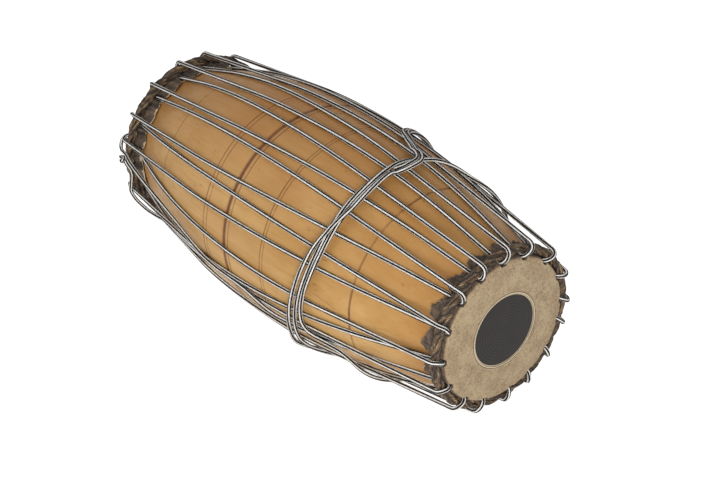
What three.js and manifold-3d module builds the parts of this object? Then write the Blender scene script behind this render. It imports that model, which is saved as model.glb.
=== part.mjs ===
// A mridangam: a hollow wooden barrel drum that lies on its side, with a hide head at each end.
// The drum's axis is X, with the small treble head at +X and the large bass head at -X; +Z is up.
// Lengths are in millimetres. Angles are in degrees round the axis: 0 faces -Y and 90 is the top.

import * as THREE from "three";
import { mergeVertices } from "three/addons/utils/BufferGeometryUtils.js";
import Module from "manifold-3d";

// Whole drum
const drumLength = 580;
const clearance = 0.3;

// Wooden shell, turned outside and hollowed inside
const bellyRadius = 131;
const bellyStation = -33;
const trebleRimRadius = 75;
const bassRimRadius = 86.5;
const trebleTaperPower = 2.2;
const bassTaperPower = 2.25;
const bellyWall = 27;
const trebleRimWall = 11;
const bassRimWall = 16;
const rimRound = 2.5;
const shellSides = 36;
const boreSteps = 6;

// Turned lines on the shell, placed as shares of half the drum's length
const grooveStationShares = [-0.63, -0.26, -0.118, 0.12, 0.58];
const broadGrooveIndex = 2;
const plainStationShares = [-0.78, -0.45, 0, 0.3, 0.45, 0.75];
const grooveWidth = 1.8;
const grooveDepth = 0.5;
const broadGrooveWidth = 3.6;
const broadGrooveDepth = 0.9;

// Hides, from the wood outwards: a support ring, the full membrane and the outer skin
const supportRingThickness = 0.7;
const membraneThickness = 0.6;
const outerSkinThickness = 1;
const supportRingWidth = 17;
const skinSides = 36;
const skinTuck = 1.5;
const foldStand = 2;
const foldDrop = 1.6;
const foldFlare = 3;
const faceRound = 2.4;

// Treble head
const trebleOpeningShare = 0.572;
const trebleHideLap = 6.6;
const trebleMargin = 25;
const pasteRing = 1.4;
const pasteCrown = 0.5;
const reedDiameter = 0.8;
const reedLengthShare = 0.7;
const reedInset = 3;
const reedSides = 4;

// Bass head
const bassOpeningShare = 0.67;
const bassHideLap = 9;
const bassMargin = 33;

// Plaited leather hoops
const trebleHoopDepth = 8;
const trebleHoopSection = 5.5;
const bassHoopDepth = 13;
const bassHoopSection = 6;
const hoopStrands = 3;
const hoopTwists = 8;
const hoopStepsPerTwist = 6;
const hoopSides = 5;
const strapOffsetShare = 0.57;
const strapRadiusShare = 0.425;

// Lacing: one rope in and out of both hoops
const ropeDiameter = 4.6;
const ropeGap = 0.4;
const ropeSides = 6;
const loopSpread = 2.2;
const bedStep = 46;
const turnSteps = 6;
const endTurn = 70;
const endDrift = 3.2;
const restFlatShare = 0.1;

// Where each loop sits on its hoop. The loops were laced by eye, so they aren't quite even.
const trebleLoopAngles = [
  -2.1, 22.6, 46.3, 67.4, 88.2, 109.1, 134, 157.4, 179.2, 195.7, 220, 241.7, 261.9, 288, 309.3, 331.5,
];
const bassLoopAngles = [
  12.7, 30.5, 53.6, 76.5, 96.4, 120.5, 146, 169, 193, 217, 241, 265.1, 287.4, 306, 325.8, 339.7,
];
const loopCount = trebleLoopAngles.length;

// How far the middle of each strand strays, in degrees, from the straight way between its two loops.
// The strands are counted by their loop on the treble hoop. Those that don't show run straight.
const overTrebleStray = [-6.1, 2.3, 2.8, 0.5, 0.5, 0, 0, 0, 0, 0, 0, 0, 0, 0, 0, 0];
const overBassStray = [0.5, 0.1, -1.9, -1.1, -0.4, 0.4, 0, 0, 0, 0, 0, 0, 0, 0, 0, 0];

// The rope's last stretch runs up along the bass hoop, over the two loops beside it. Each stop is an
// angle, a share of the lift over a loop, and how many rope diameters it lies behind the hoop.
const endLoop = 13;
const tailStops = [
  [-51.2, 0.3, 2.6], [-49.3, 0.7, 2.1], [-46, 1, 1.9], [-36, 1.25, 1.9], [-30.5, 1.26, 1.9],
  [-21, 1.26, 1.9], [-17, 1.23, 1.9], [-14.3, 0.52, 1.95],
  [-10.5, -0.2, 1.95], [-6.5, -0.6, 1.95], [-3.2, -0.5, 1.6], [-0.2, -0.08, 0.9], [2.6, 0.06, 0.3],
];

// Channels in the outer skin, where the rope dives under the hoop
const channelCentre = -1;
const channelHalfWidth = 4.1;
const channelBank = 2.8;
const widestFold = 9;

// Girdle: one rope, three times round over the lacing. On the front its middle lane swings along X.
const girdleSides = 5;
const girdleLanePitch = 5.4;
const girdleLift = 0.62;
const girdleSwell = 1.0025;
const girdleMiddle = 86;
const girdleSwing = 42;
const girdleSwingLead = 64;
const frontAngles = [-38, -24, -10, 4, 17, 27, 33, 38, 43, 48, 54, 66, 79];
const twistStart = 24;
const twistEnd = 52;
const crossingShare = 0.7;
// Stops of the girdle's other stretches: an angle, a station as a share of half the drum's length,
// and a share of the lift over a crossing.
const leftStops = [
  [83, 0.443, 0], [87.4, 0.459, 0.5], [91.3, 0.466, 1], [95.2, 0.46, 1], [98.1, 0.446, 1],
  [100, 0.425, 1], [101.6, 0.399, 0.8], [103.6, 0.37, 0.2], [105.8, 0.342, 0], [109.8, 0.276, 0],
  [115, 0.212, 0], [125, 0.172, 0], [139, 0.145, 0], [157, 0.122, 0], [175, 0.117, 0], [193, 0.124, 0],
  [211, 0.148, 0], [229, 0.2, 0], [246, 0.278, 0], [262, 0.328, 0], [275, 0.333, 0],
  [288, 0.301, 0], [299, 0.266, 0], [309, 0.249, 0],
];
const rightStops = [
  [88, 0.414, 0], [94, 0.42, 0], [99, 0.429, 0], [104, 0.434, 0], [110.3, 0.443, 0],
  [116.3, 0.463, 0], [119.8, 0.484, 0], [122.2, 0.516, 0], [125, 0.551, 0], [132, 0.573, 0],
  [145, 0.584, 0], [163, 0.588, 0], [181, 0.588, 0], [199, 0.588, 0], [217, 0.588, 0],
  [235, 0.588, 0], [253, 0.588, 0], [271, 0.588, 0], [289, 0.586, 0],
  [305, 0.584, 0], [320, 0.579, 0], [330, 0.566, 0], [334.6, 0.538, 0], [336.4, 0.49, 0],
  [337.4, 0.445, 0], [338.2, 0.405, 0], [340.4, 0.376, 0], [345, 0.362, 0],
];
const firstRightwardAngle = -8;

const turn = 360;
const pitch = turn / loopCount;
const ropeRadius = ropeDiameter / 2;
const halfLength = drumLength / 2;

// A flat description of each end. Depths run inwards from the face, and side is its sign along X.
const treble = {
  side: 1,
  rimRadius: trebleRimRadius,
  rimWall: trebleRimWall,
  openingRadius: trebleRimRadius * trebleOpeningShare,
  hideRadius: trebleRimRadius + trebleHideLap,
  margin: trebleMargin,
  hoopDepth: trebleHoopDepth,
  hoopSection: trebleHoopSection,
  faceGap: reedDiameter + 2 * clearance,
  loopAngles: trebleLoopAngles,
};
const bass = {
  side: -1,
  rimRadius: bassRimRadius,
  rimWall: bassRimWall,
  openingRadius: bassRimRadius * bassOpeningShare,
  hideRadius: bassRimRadius + bassHideLap,
  margin: bassMargin,
  hoopDepth: bassHoopDepth,
  hoopSection: bassHoopSection,
  faceGap: clearance,
  loopAngles: bassLoopAngles,
};
for (const head of [treble, bass]) {
  head.membraneDepth = outerSkinThickness + head.faceGap;
  head.ringDepth = head.membraneDepth + membraneThickness + clearance;
  head.rimDepth = head.ringDepth + supportRingThickness + clearance;
  head.rimStation = head.side * (halfLength - head.rimDepth);
}

// Distance of each layer's inner and outer face from the wood
const ringInner = clearance;
const ringOuter = ringInner + supportRingThickness;
const membraneInner = ringOuter + clearance;
const membraneOuter = membraneInner + membraneThickness;
const skinInner = membraneOuter + clearance;
const skinOuter = skinInner + outerSkinThickness;

const radians = (degrees) => THREE.MathUtils.degToRad(degrees);
const stationOf = (head, depth) => head.side * (halfLength - depth);

// Angle of any loop, counted on round the drum past the last and back past the first
function loopAngle(head, index) {
  const turns = Math.floor(index / loopCount);
  return head.loopAngles[index - turns * loopCount] + turns * turn;
}

// Outer radius of the bare wood: it swells from each rim to the belly by a power of the distance.
function barrelRadius(station) {
  const head = station > bellyStation ? treble : bass;
  const power = station > bellyStation ? trebleTaperPower : bassTaperPower;
  const share = (station - bellyStation) / (head.rimStation - bellyStation);
  return bellyRadius - (bellyRadius - head.rimRadius) * Math.min(share, 1) ** power;
}

const woodAt = (head, depth) => barrelRadius(stationOf(head, Math.max(depth, head.rimDepth)));

// Centre of the hoop: outside the skins and one thickness of rope
for (const head of [treble, bass]) {
  head.hoopStation = stationOf(head, head.hoopDepth);
  head.hoopInnerRadius = woodAt(head, head.hoopDepth) + skinOuter + 2 * ropeGap + ropeDiameter;
  head.hoopRadius = head.hoopInnerRadius + head.hoopSection;
}

function aroundAxis(station, radius, degrees) {
  const angle = radians(degrees);
  return new THREE.Vector3(station, -radius * Math.cos(angle), radius * Math.sin(angle));
}

// A solid of revolution about X. The outline is a closed list of [station, radius] pairs.
function revolved(outline, sides) {
  const points = outline.map(([station, radius]) => new THREE.Vector2(radius, station));
  if (outline[0][1] > 0 || outline.at(-1)[1] > 0) points.push(points[0].clone());
  const area = THREE.ShapeUtils.area(points);
  if (area < 0) points.reverse();
  return new THREE.LatheGeometry(points, sides).rotateZ(-Math.PI / 2);
}

// Joins rings of points, all with the same count, into one closed body: a tube with two ends or a loop.
function joinedRings(rings, closed) {
  const count = rings[0].length;
  const positions = rings.flat().flatMap((point) => point.toArray());
  const faces = [];
  const last = closed ? rings.length : rings.length - 1;
  for (let i = 0; i < last; i += 1) {
    const near = i * count;
    const far = ((i + 1) % rings.length) * count;
    for (let j = 0; j < count; j += 1) {
      const next = (j + 1) % count;
      faces.push(near + j, near + next, far + next, near + j, far + next, far + j);
    }
  }
  if (!closed) {
    const end = (rings.length - 1) * count;
    for (let j = 1; j < count - 1; j += 1) {
      faces.push(0, j + 1, j, end, end + j, end + j + 1);
    }
  }
  const geometry = new THREE.BufferGeometry();
  geometry.setAttribute("position", new THREE.Float32BufferAttribute(positions, 3));
  geometry.setIndex(faces);
  geometry.computeVertexNormals();
  return geometry;
}

// Rings of a round cord along a route, with a normal that is carried on without twisting.
function cordRings(route, radius, sides, closed) {
  const count = route.length;
  const at = (i) => route[closed ? (i + count) % count : THREE.MathUtils.clamp(i, 0, count - 1)];
  const normal = new THREE.Vector3(0, 0, 1);
  return route.map((point, i) => {
    const ahead = at(i + 1).clone().sub(point).normalize();
    const behind = point.clone().sub(at(i - 1)).normalize();
    const tangent = ahead.add(behind).normalize();
    normal.addScaledVector(tangent, -normal.dot(tangent)).normalize();
    const across = new THREE.Vector3().crossVectors(tangent, normal);
    return Array.from({ length: sides }, (_, j) => {
      const angle = (2 * Math.PI * j) / sides;
      return point.clone().addScaledVector(normal, radius * Math.cos(angle))
        .addScaledVector(across, radius * Math.sin(angle));
    });
  });
}

// Least gap of a cord to itself: centre distances on points a little apart along it, less its diameter.
function leastGap(route, diameter) {
  const samples = [];
  let travelled = 0;
  for (let i = 0; i < route.length - 1; i += 1) {
    const span = route[i].distanceTo(route[i + 1]);
    const parts = Math.ceil(span / diameter);
    for (let j = 0; j < parts; j += 1) {
      const point = route[i].clone().lerp(route[i + 1], j / parts);
      samples.push({ point, along: travelled + (span * j) / parts });
    }
    travelled += span;
  }
  const farEnough = Math.PI * diameter;
  let least = Infinity;
  for (let i = 0; i < samples.length; i += 1) {
    for (let j = i + 1; j < samples.length; j += 1) {
      if (samples[j].along - samples[i].along > farEnough) {
        least = Math.min(least, samples[i].point.distanceTo(samples[j].point));
      }
    }
  }
  return { gap: least - diameter, length: travelled };
}

const manifold = await Module();
manifold.setup();

function solidOf(geometry) {
  const bare = geometry.clone();
  bare.deleteAttribute("normal");
  bare.deleteAttribute("uv");
  const merged = mergeVertices(bare);
  return new manifold.Manifold(new manifold.Mesh({
    numProp: 3,
    vertProperties: new Float32Array(merged.attributes.position.array),
    triVerts: new Uint32Array(merged.index.array),
  }));
}

function geometryOf(solid) {
  const mesh = solid.getMesh();
  const geometry = new THREE.BufferGeometry();
  geometry.setAttribute("position", new THREE.Float32BufferAttribute(mesh.vertProperties, 3));
  geometry.setIndex(new THREE.Uint32BufferAttribute(mesh.triVerts, 1));
  geometry.computeVertexNormals();
  return geometry;
}

// The shell: a barrel outline with turned lines, and a bore whose wall thins towards the rims.
function shellGeometry() {
  const outline = [];
  for (const head of [bass, treble]) {
    const edge = head.rimStation - head.side * rimRound;
    const corner = [
      [head.rimStation, head.rimRadius - head.rimWall],
      [head.rimStation, barrelRadius(edge) - rimRound],
      [edge, barrelRadius(edge)],
    ];
    const shoulder = head.rimStation - head.side * (head.margin - head.rimDepth);
    corner.push([shoulder, barrelRadius(shoulder)]);
    if (head === bass) {
      outline.push(...corner);
      grooveStationShares.forEach((share, i) => {
        const broad = i === broadGrooveIndex;
        const station = share * halfLength;
        const half = (broad ? broadGrooveWidth : grooveWidth) / 2;
        const depth = broad ? broadGrooveDepth : grooveDepth;
        outline.push([station - half, barrelRadius(station - half)]);
        outline.push([station, barrelRadius(station) - depth]);
        outline.push([station + half, barrelRadius(station + half)]);
      });
      for (const share of plainStationShares) {
        outline.push([share * halfLength, barrelRadius(share * halfLength)]);
      }
      outline.sort((a, b) => a[0] - b[0] || a[1] - b[1]);
    } else {
      outline.push(...corner.reverse());
    }
  }
  for (let i = boreSteps - 1; i > 0; i -= 1) {
    const station = THREE.MathUtils.lerp(bass.rimStation, treble.rimStation, i / boreSteps);
    const head = station > bellyStation ? treble : bass;
    const share = (station - bellyStation) / (head.rimStation - bellyStation);
    const wall = THREE.MathUtils.lerp(bellyWall, head.rimWall, share);
    outline.push([station, barrelRadius(station) - wall]);
  }
  return revolved(outline, shellSides);
}

// Outline of a hide that lies on the rim and turns down over its edge
function hideOutline(head, near, far, depth, thickness, innerRadius, tuck) {
  const edge = head.rimDepth + rimRound;
  const lap = Math.tan(Math.PI / 8);
  const corner = woodAt(head, edge) - rimRound;
  const outer = [
    [depth, innerRadius],
    [depth, corner + far * lap],
    [edge - far * lap, woodAt(head, edge) + far],
    [tuck, woodAt(head, tuck) + far],
  ];
  const inner = [
    [tuck, woodAt(head, tuck) + near],
    [edge - near * lap, woodAt(head, edge) + near],
    [depth + thickness, corner + near * lap],
    [depth + thickness, innerRadius],
  ];
  return [...outer, ...inner].map(([u, radius]) => [stationOf(head, u), radius]);
}

function supportRingGeometry(head) {
  const innerRadius = woodAt(head, head.rimDepth) - supportRingWidth;
  const tuck = head.hoopDepth + skinTuck / 2;
  return revolved(
    hideOutline(head, ringInner, ringOuter, head.ringDepth, supportRingThickness, innerRadius, tuck),
    skinSides,
  );
}

function membraneGeometry(head) {
  const tuck = head.hoopDepth + skinTuck / 2;
  return revolved(
    hideOutline(head, membraneInner, membraneOuter, head.membraneDepth, membraneThickness, 0, tuck),
    skinSides,
  );
}

// Where the outer skin's face lies as [depth, radius]: fold is 0 in a rope channel and 1 on a fold.
function skinFace(head, fold) {
  const edge = head.rimDepth + rimRound;
  const lap = Math.tan(Math.PI / 8);
  const channel = [
    [0, head.openingRadius],
    [0, woodAt(head, edge) - rimRound + skinOuter * lap],
    [edge - skinOuter * lap, woodAt(head, edge) + skinOuter],
    [head.hoopDepth - foldStand, woodAt(head, head.hoopDepth - foldStand) + skinOuter],
    [head.hoopDepth + skinTuck, woodAt(head, head.hoopDepth + skinTuck) + skinOuter],
    [head.hoopDepth + head.hoopSection + foldStand, 0],
    [head.margin, woodAt(head, head.margin) + clearance + outerSkinThickness],
  ];
  channel[5][1] = woodAt(head, channel[5][0]) + clearance + outerSkinThickness;
  const underHoop = head.hoopInnerRadius - ropeGap;
  const ridge = [
    [0, head.openingRadius],
    [0, head.hideRadius - faceRound],
    [foldDrop, head.hideRadius],
    [head.hoopDepth - foldStand, underHoop],
    [head.hoopDepth + skinTuck, underHoop],
    [head.hoopDepth + head.hoopSection + foldStand, underHoop + foldFlare],
    [head.margin, woodAt(head, head.margin) + clearance + 2 * outerSkinThickness],
  ];
  return channel.map(([u, radius], i) => [
    THREE.MathUtils.lerp(u, ridge[i][0], fold),
    THREE.MathUtils.lerp(radius, Math.max(ridge[i][1], radius), fold),
  ]);
}

function skinBack(head) {
  const edge = head.rimDepth + rimRound;
  const lap = Math.tan(Math.PI / 8);
  const bend = head.hoopDepth + head.hoopSection + foldStand;
  return [
    [head.margin, woodAt(head, head.margin) + clearance],
    [bend, woodAt(head, bend) + clearance],
    [head.hoopDepth + skinTuck, woodAt(head, head.hoopDepth + skinTuck) + skinInner],
    [edge - skinInner * lap, woodAt(head, edge) + skinInner],
    [outerSkinThickness, woodAt(head, edge) - rimRound + skinInner * lap],
    [outerSkinThickness, head.openingRadius],
  ];
}

// The outer skin: a flat ring on the face whose edge turns down into a fold between each two loops.
function outerSkinGeometry(head) {
  const rings = [];
  for (let loop = 0; loop < loopCount; loop += 1) {
    const middle = loopAngle(head, loop) + channelCentre;
    const spacing = loopAngle(head, loop + 1) - loopAngle(head, loop);
    const foldStart = channelHalfWidth + channelBank;
    const foldWidth = spacing - foldStart * 2;
    const foldSteps = Math.ceil(foldWidth / widestFold);
    const steps = [[-channelHalfWidth, 0], [channelHalfWidth, 0]];
    for (let step = 0; step <= foldSteps; step += 1) {
      steps.push([foldStart + (foldWidth * step) / foldSteps, 1]);
    }
    for (const [offset, fold] of steps) {
      const section = [...skinFace(head, fold), ...skinBack(head)];
      rings.push(section.map(([u, radius]) => aroundAxis(stationOf(head, u), radius, middle + offset)));
    }
  }
  if (head.side > 0) rings.reverse();
  return joinedRings(rings, true);
}

// The black tuning paste: a low crowned disc on the membrane, inside the skin's opening
function pasteGeometry(head) {
  const radius = head.openingRadius - pasteRing;
  const back = head.membraneDepth - clearance;
  const profile = [
    [0, 0],
    [pasteCrown / 2, radius / 2],
    [pasteCrown, radius],
    [back, radius],
    [back, 0],
  ];
  return revolved(profile.map(([u, r]) => [stationOf(head, u), r]), skinSides);
}

// One straw between the membrane and the outer skin, laid along a radius
function reedGeometry(index) {
  const depth = treble.membraneDepth - clearance - reedDiameter / 2;
  const angle = (index + 1 / 2) * pitch;
  const start = treble.openingRadius + reedInset;
  const ends = [start, start + (treble.rimRadius - start) * reedLengthShare];
  const route = ends.map((radius) => aroundAxis(stationOf(treble, depth), radius, angle));
  return joinedRings(cordRings(route, reedDiameter / 2, reedSides, false), false);
}

// One strap of a plaited hoop: it winds round the hoop's own centre line as it goes round the drum.
function strapGeometry(head, index) {
  const count = hoopTwists * hoopStepsPerTwist;
  const route = Array.from({ length: count }, (_, i) => {
    const wind = 2 * Math.PI * (i / hoopStepsPerTwist + index / hoopStrands);
    const offset = head.hoopSection * strapOffsetShare;
    return aroundAxis(
      head.hoopStation + offset * Math.sin(wind),
      head.hoopRadius + offset * Math.cos(wind),
      (turn * i) / count,
    );
  });
  return joinedRings(closedCordRings(route, head.hoopSection * strapRadiusShare, hoopSides), true);
}

// Rings of a closed cord, each set out from the drum's axis, so that the last meets the first
function closedCordRings(route, radius, sides) {
  const count = route.length;
  return route.map((point, i) => {
    const tangent = route[(i + 1) % count].clone().sub(route[(i + count - 1) % count]).normalize();
    const outward = new THREE.Vector3(0, point.y, point.z);
    outward.addScaledVector(tangent, -outward.dot(tangent)).normalize();
    const across = new THREE.Vector3().crossVectors(tangent, outward);
    return Array.from({ length: sides }, (_, j) => {
      const angle = (2 * Math.PI * j) / sides;
      return point.clone().addScaledVector(outward, radius * Math.cos(angle))
        .addScaledVector(across, radius * Math.sin(angle));
    });
  });
}

// What a strand can lie on, from the bass hoop to the treble hoop, as [station, radius] of its centre
function ropeBed() {
  const lift = ropeRadius + ropeGap;
  const bed = [];
  for (const head of [bass, treble]) {
    const folds = skinFace(head, 0).filter(([u]) => u > head.hoopDepth);
    const points = folds.map(([u, radius]) => [stationOf(head, u), radius + lift]);
    bed.push(...points);
  }
  const low = stationOf(bass, bass.margin);
  const high = stationOf(treble, treble.margin);
  for (let i = 0; bellyStation + (i + 1 / 2) * bedStep < high; i += 1) {
    const station = bellyStation + (i + 1 / 2) * bedStep;
    bed.push([station, barrelRadius(station) + lift]);
  }
  for (let i = 0; bellyStation - (i + 1 / 2) * bedStep > low; i += 1) {
    const station = bellyStation - (i + 1 / 2) * bedStep;
    bed.push([station, barrelRadius(station) + lift]);
  }
  return bed.sort((a, b) => a[0] - b[0]);
}

// Where a taut strand leaves a hoop, over or under it: its slope there and the bed point that it meets
function touch(head, bed, over) {
  const reach = head.hoopSection + ropeGap + ropeRadius;
  let best = { slope: -Infinity };
  bed.forEach(([station, radius], index) => {
    const run = head.side * (head.hoopStation - station);
    const rise = radius - head.hoopRadius;
    const wrap = Math.asin(Math.min(1, reach / Math.hypot(run, rise)));
    const slope = Math.atan2(rise, run) + (over ? -wrap : wrap);
    if (slope > best.slope) best = { slope, index };
  });
  return best;
}

function leavingPoint(head, slope, over) {
  const reach = (over ? 1 : -1) * (head.hoopSection + ropeGap + ropeRadius);
  return [
    head.hoopStation + head.side * reach * Math.sin(slope),
    head.hoopRadius + reach * Math.cos(slope),
  ];
}

// The stretched line over the bed between two points of it: its upper hull
function stretched(points) {
  const hull = [];
  for (const point of points) {
    while (hull.length > 1) {
      const [a, b] = hull.slice(-2);
      const bend = (b[0] - a[0]) * (point[1] - a[1]) - (b[1] - a[1]) * (point[0] - a[0]);
      if (bend < 0) break;
      hull.pop();
    }
    hull.push(point);
  }
  return hull;
}

// Side view of one strand, from bass to treble: the bed points that it touches and its two slopes
function strandProfile(overAtTreble) {
  const bed = ropeBed();
  const bassTouch = touch(bass, bed, !overAtTreble);
  const trebleTouch = touch(treble, bed, overAtTreble);
  return {
    bassSlope: bassTouch.slope,
    trebleSlope: trebleTouch.slope,
    bassEnd: leavingPoint(bass, bassTouch.slope, !overAtTreble),
    trebleEnd: leavingPoint(treble, trebleTouch.slope, overAtTreble),
    points: stretched(bed.slice(bassTouch.index, trebleTouch.index + 1)),
  };
}

const strandOverTreble = strandProfile(true);
const strandOverBass = strandProfile(false);

// Points round a hoop from one wind angle to another; 0 is outside the hoop and 90 is its front.
function hoopTurn(head, windFrom, windTo, angleFrom, angleTo, steps) {
  const reach = head.hoopSection + ropeGap + ropeRadius;
  return Array.from({ length: steps + 1 }, (_, i) => {
    const wind = radians(THREE.MathUtils.lerp(windFrom, windTo, i / steps));
    return aroundAxis(
      head.hoopStation + head.side * reach * Math.sin(wind),
      head.hoopRadius + reach * Math.cos(wind),
      THREE.MathUtils.lerp(angleFrom, angleTo, i / steps),
    );
  });
}

// A strand's points between two loops. It strays most in the middle, by a parabola.
function strandPoints(profile, bassAngle, trebleAngle, stray) {
  const span = treble.hoopStation - bass.hoopStation;
  return profile.points.map(([station, radius]) => {
    const share = (station - bass.hoopStation) / span;
    const bow = 4 * stray * share * (1 - share);
    return aroundAxis(station, radius, THREE.MathUtils.lerp(bassAngle, trebleAngle, share) + bow);
  });
}

// The rope's end, from the last strand round and up the outside of the bass hoop
function tailPoints() {
  const reach = bass.hoopRadius + bass.hoopSection + ropeGap + ropeRadius;
  return tailStops.map(([angle, lift, behind]) =>
    aroundAxis(bass.hoopStation + behind * ropeDiameter, reach + lift * (ropeDiameter + ropeGap), angle));
}

// The whole rope: it starts in a round turn on the bass hoop and ends along the outside of it.
function lacingRoute() {
  const route = [];
  const degrees = THREE.MathUtils.radToDeg;
  const half = turn / 2;
  const trebleOver = degrees(strandOverTreble.trebleSlope);
  const bassUnder = half + degrees(strandOverTreble.bassSlope);
  const trebleUnder = half + degrees(strandOverBass.trebleSlope);
  const bassOver = degrees(strandOverBass.bassSlope);
  const startSteps = Math.round((turnSteps * (half + endTurn)) / half);
  for (let i = 0; i < loopCount; i += 1) {
    const loop = endLoop - i;
    const bassHigh = loopAngle(bass, loop) + loopSpread;
    const bassLow = loopAngle(bass, loop) - loopSpread;
    if (i === 0) {
      route.push(...hoopTurn(bass, -endTurn, bassUnder, bassLow - endDrift, bassLow, startSteps));
    } else {
      route.push(...hoopTurn(bass, bassOver, bassUnder, bassHigh, bassLow, turnSteps));
    }
    const trebleHigh = loopAngle(treble, loop) + loopSpread;
    const trebleLow = loopAngle(treble, loop) - loopSpread;
    const strand = (loop + loopCount) % loopCount;
    route.push(...strandPoints(strandOverTreble, bassLow, trebleHigh, overTrebleStray[strand]));
    route.push(...hoopTurn(treble, trebleOver, trebleUnder, trebleHigh, trebleLow, turnSteps));
    const nextHigh = loopAngle(bass, loop - 1) + loopSpread;
    route.push(...strandPoints(strandOverBass, nextHigh, trebleLow, overBassStray[strand]).reverse());
  }
  route.push(...tailPoints());
  return route;
}

// Height of the outermost strand centre above the axis at a station
function strandRadius(station) {
  const heights = [strandOverTreble, strandOverBass].map(({ points, bassEnd, trebleEnd }) => {
    const line = [bassEnd, ...points, trebleEnd];
    const next = Math.max(1, line.findIndex((point) => point[0] >= station));
    const [a, b] = [line[next - 1], line[next]];
    return THREE.MathUtils.lerp(a[1], b[1], (station - a[0]) / (b[0] - a[0]));
  });
  return Math.max(...heights);
}

// A lane beside a line of stops, on the side of higher stations where the line climbs in angle
function beside(stops, offset) {
  const arc = radians(bellyRadius);
  return stops.map(([angle, stationShare, lift], i) => {
    const before = stops[Math.max(i - 1, 0)];
    const after = stops[Math.min(i + 1, stops.length - 1)];
    const along = (after[1] - before[1]) * halfLength;
    const round = (after[0] - before[0]) * arc;
    const share = offset / Math.hypot(along, round);
    return [angle - (share * along) / arc, stationShare * halfLength + share * round, lift];
  });
}

// How high the climbing pass lies over the two lanes that it crosses, as a share of one rope: round
// cords that touch stay one thickness apart. Lanes that cross aslant lie closer than beside each other.
function climbOver(share) {
  const beneath = Math.min(Math.abs(3 * share - 1), Math.abs(3 * share - 2));
  const apart = (crossingShare * beneath * girdleLanePitch) / (ropeDiameter + girdleLift);
  return Math.sqrt(Math.max(0, 1 - apart * apart));
}

// One pass over the front. It changes lanes in the twist, where the first pass climbs over the rest.
function frontPass(angles, laneLow, laneHigh, climbs) {
  return angles.map((angle) => {
    const share = THREE.MathUtils.clamp((angle - twistStart) / (twistEnd - twistStart), 0, 1);
    const lane = THREE.MathUtils.lerp(laneLow, laneHigh, share);
    const swing = radians(angle - girdleSwingLead);
    const middle = girdleMiddle + girdleSwing * Math.cos(swing);
    const spacing = girdleLanePitch * Math.hypot(1, (girdleSwing / bellyRadius) * Math.sin(swing));
    return [angle + turn, middle + lane * spacing, climbs ? climbOver(share) : 0];
  });
}

// The girdle rope: twice down the left of the hidden side and once down its right, in three lanes
function girdleRoute() {
  const half = girdleLanePitch / 2;
  const rightward = frontAngles.filter((angle) => angle > firstRightwardAngle);
  const passes = [
    [...beside(leftStops, -half), ...frontPass(frontAngles, -1, 1, true)],
    [...beside(leftStops, half), ...frontPass(frontAngles, 0, -1, false)],
    [...beside(rightStops, 0), ...frontPass(rightward, 1, 0, false)],
  ];
  const stops = passes.flatMap((pass, i) => pass.map(([angle, ...rest]) => [angle + i * turn, ...rest]));
  const curve = new THREE.CatmullRomCurve3(stops.map((stop) => new THREE.Vector3(...stop)));
  return curve.getPoints(2 * (stops.length - 1)).map(({ x: angle, y: station, z: lift }) => {
    const height = (1 + lift) * (ropeDiameter + girdleLift);
    return aroundAxis(station, (strandRadius(station) + height) * girdleSwell, angle);
  });
}

const wood = { color: 0xb58445, roughness: 0.45, metalness: 0 };
const suede = { color: 0xa08a6c, roughness: 0.9, metalness: 0 };
const paleHide = { color: 0xc9bda3, roughness: 0.7, metalness: 0 };
const darkLeather = { color: 0x4a3d30, roughness: 0.6, metalness: 0 };
const blackPaste = { color: 0x35302e, roughness: 0.6, metalness: 0 };
const ropeCord = { color: 0x8d8a86, roughness: 0.8, metalness: 0 };
const straw = { color: 0xc8b27a, roughness: 0.8, metalness: 0 };

const drum = new THREE.Group();

function addPiece(name, geometry, finish) {
  const piece = new THREE.Mesh(geometry, new THREE.MeshStandardMaterial(finish));
  piece.name = name;
  drum.add(piece);
}

// The lacing is cut flat where the drum rests on it.
const lacing = lacingRoute();
const roundLacing = joinedRings(cordRings(lacing, ropeRadius, ropeSides, false), false);
roundLacing.computeBoundingBox();
const floorHeight = roundLacing.boundingBox.min.z + restFlatShare * ropeDiameter;
const underFloor = new THREE.BoxGeometry(drumLength, drumLength, drumLength);
underFloor.translate(0, 0, floorHeight - halfLength);
const restingLacing = geometryOf(solidOf(roundLacing).subtract(solidOf(underFloor)));

const girdle = girdleRoute();
for (const [name, route] of [["lacing", lacing], ["girdle", girdle]]) {
  const { gap, length } = leastGap(route, ropeDiameter);
  console.log(`${name}: ${length.toFixed(0)} mm long, least gap to itself ${gap.toFixed(2)} mm`);
}

addPiece("shell", shellGeometry(), wood);
for (const [label, head] of [["treble", treble], ["bass", bass]]) {
  addPiece(`${label}_support_ring`, supportRingGeometry(head), paleHide);
  addPiece(`${label}_membrane`, membraneGeometry(head), paleHide);
  addPiece(`${label}_outer_skin`, outerSkinGeometry(head), suede);
  for (let i = 0; i < hoopStrands; i += 1) {
    addPiece(`${label}_hoop_strap_${i + 1}`, strapGeometry(head, i), darkLeather);
  }
}
addPiece("treble_paste_disc", pasteGeometry(treble), blackPaste);
for (let i = 0; i < loopCount; i += 1) {
  addPiece(`tone_reed_${String(i + 1).padStart(2, "0")}`, reedGeometry(i), straw);
}
addPiece("lacing_rope", restingLacing, ropeCord);
addPiece("girdle_rope", joinedRings(cordRings(girdle, ropeRadius, girdleSides, false), false), ropeCord);

// The origin is the middle of the underside.
const bounds = new THREE.Box3().setFromObject(drum);
const middle = bounds.getCenter(new THREE.Vector3());
drum.position.set(-middle.x, -middle.y, -floorHeight);

export default drum;
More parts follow.
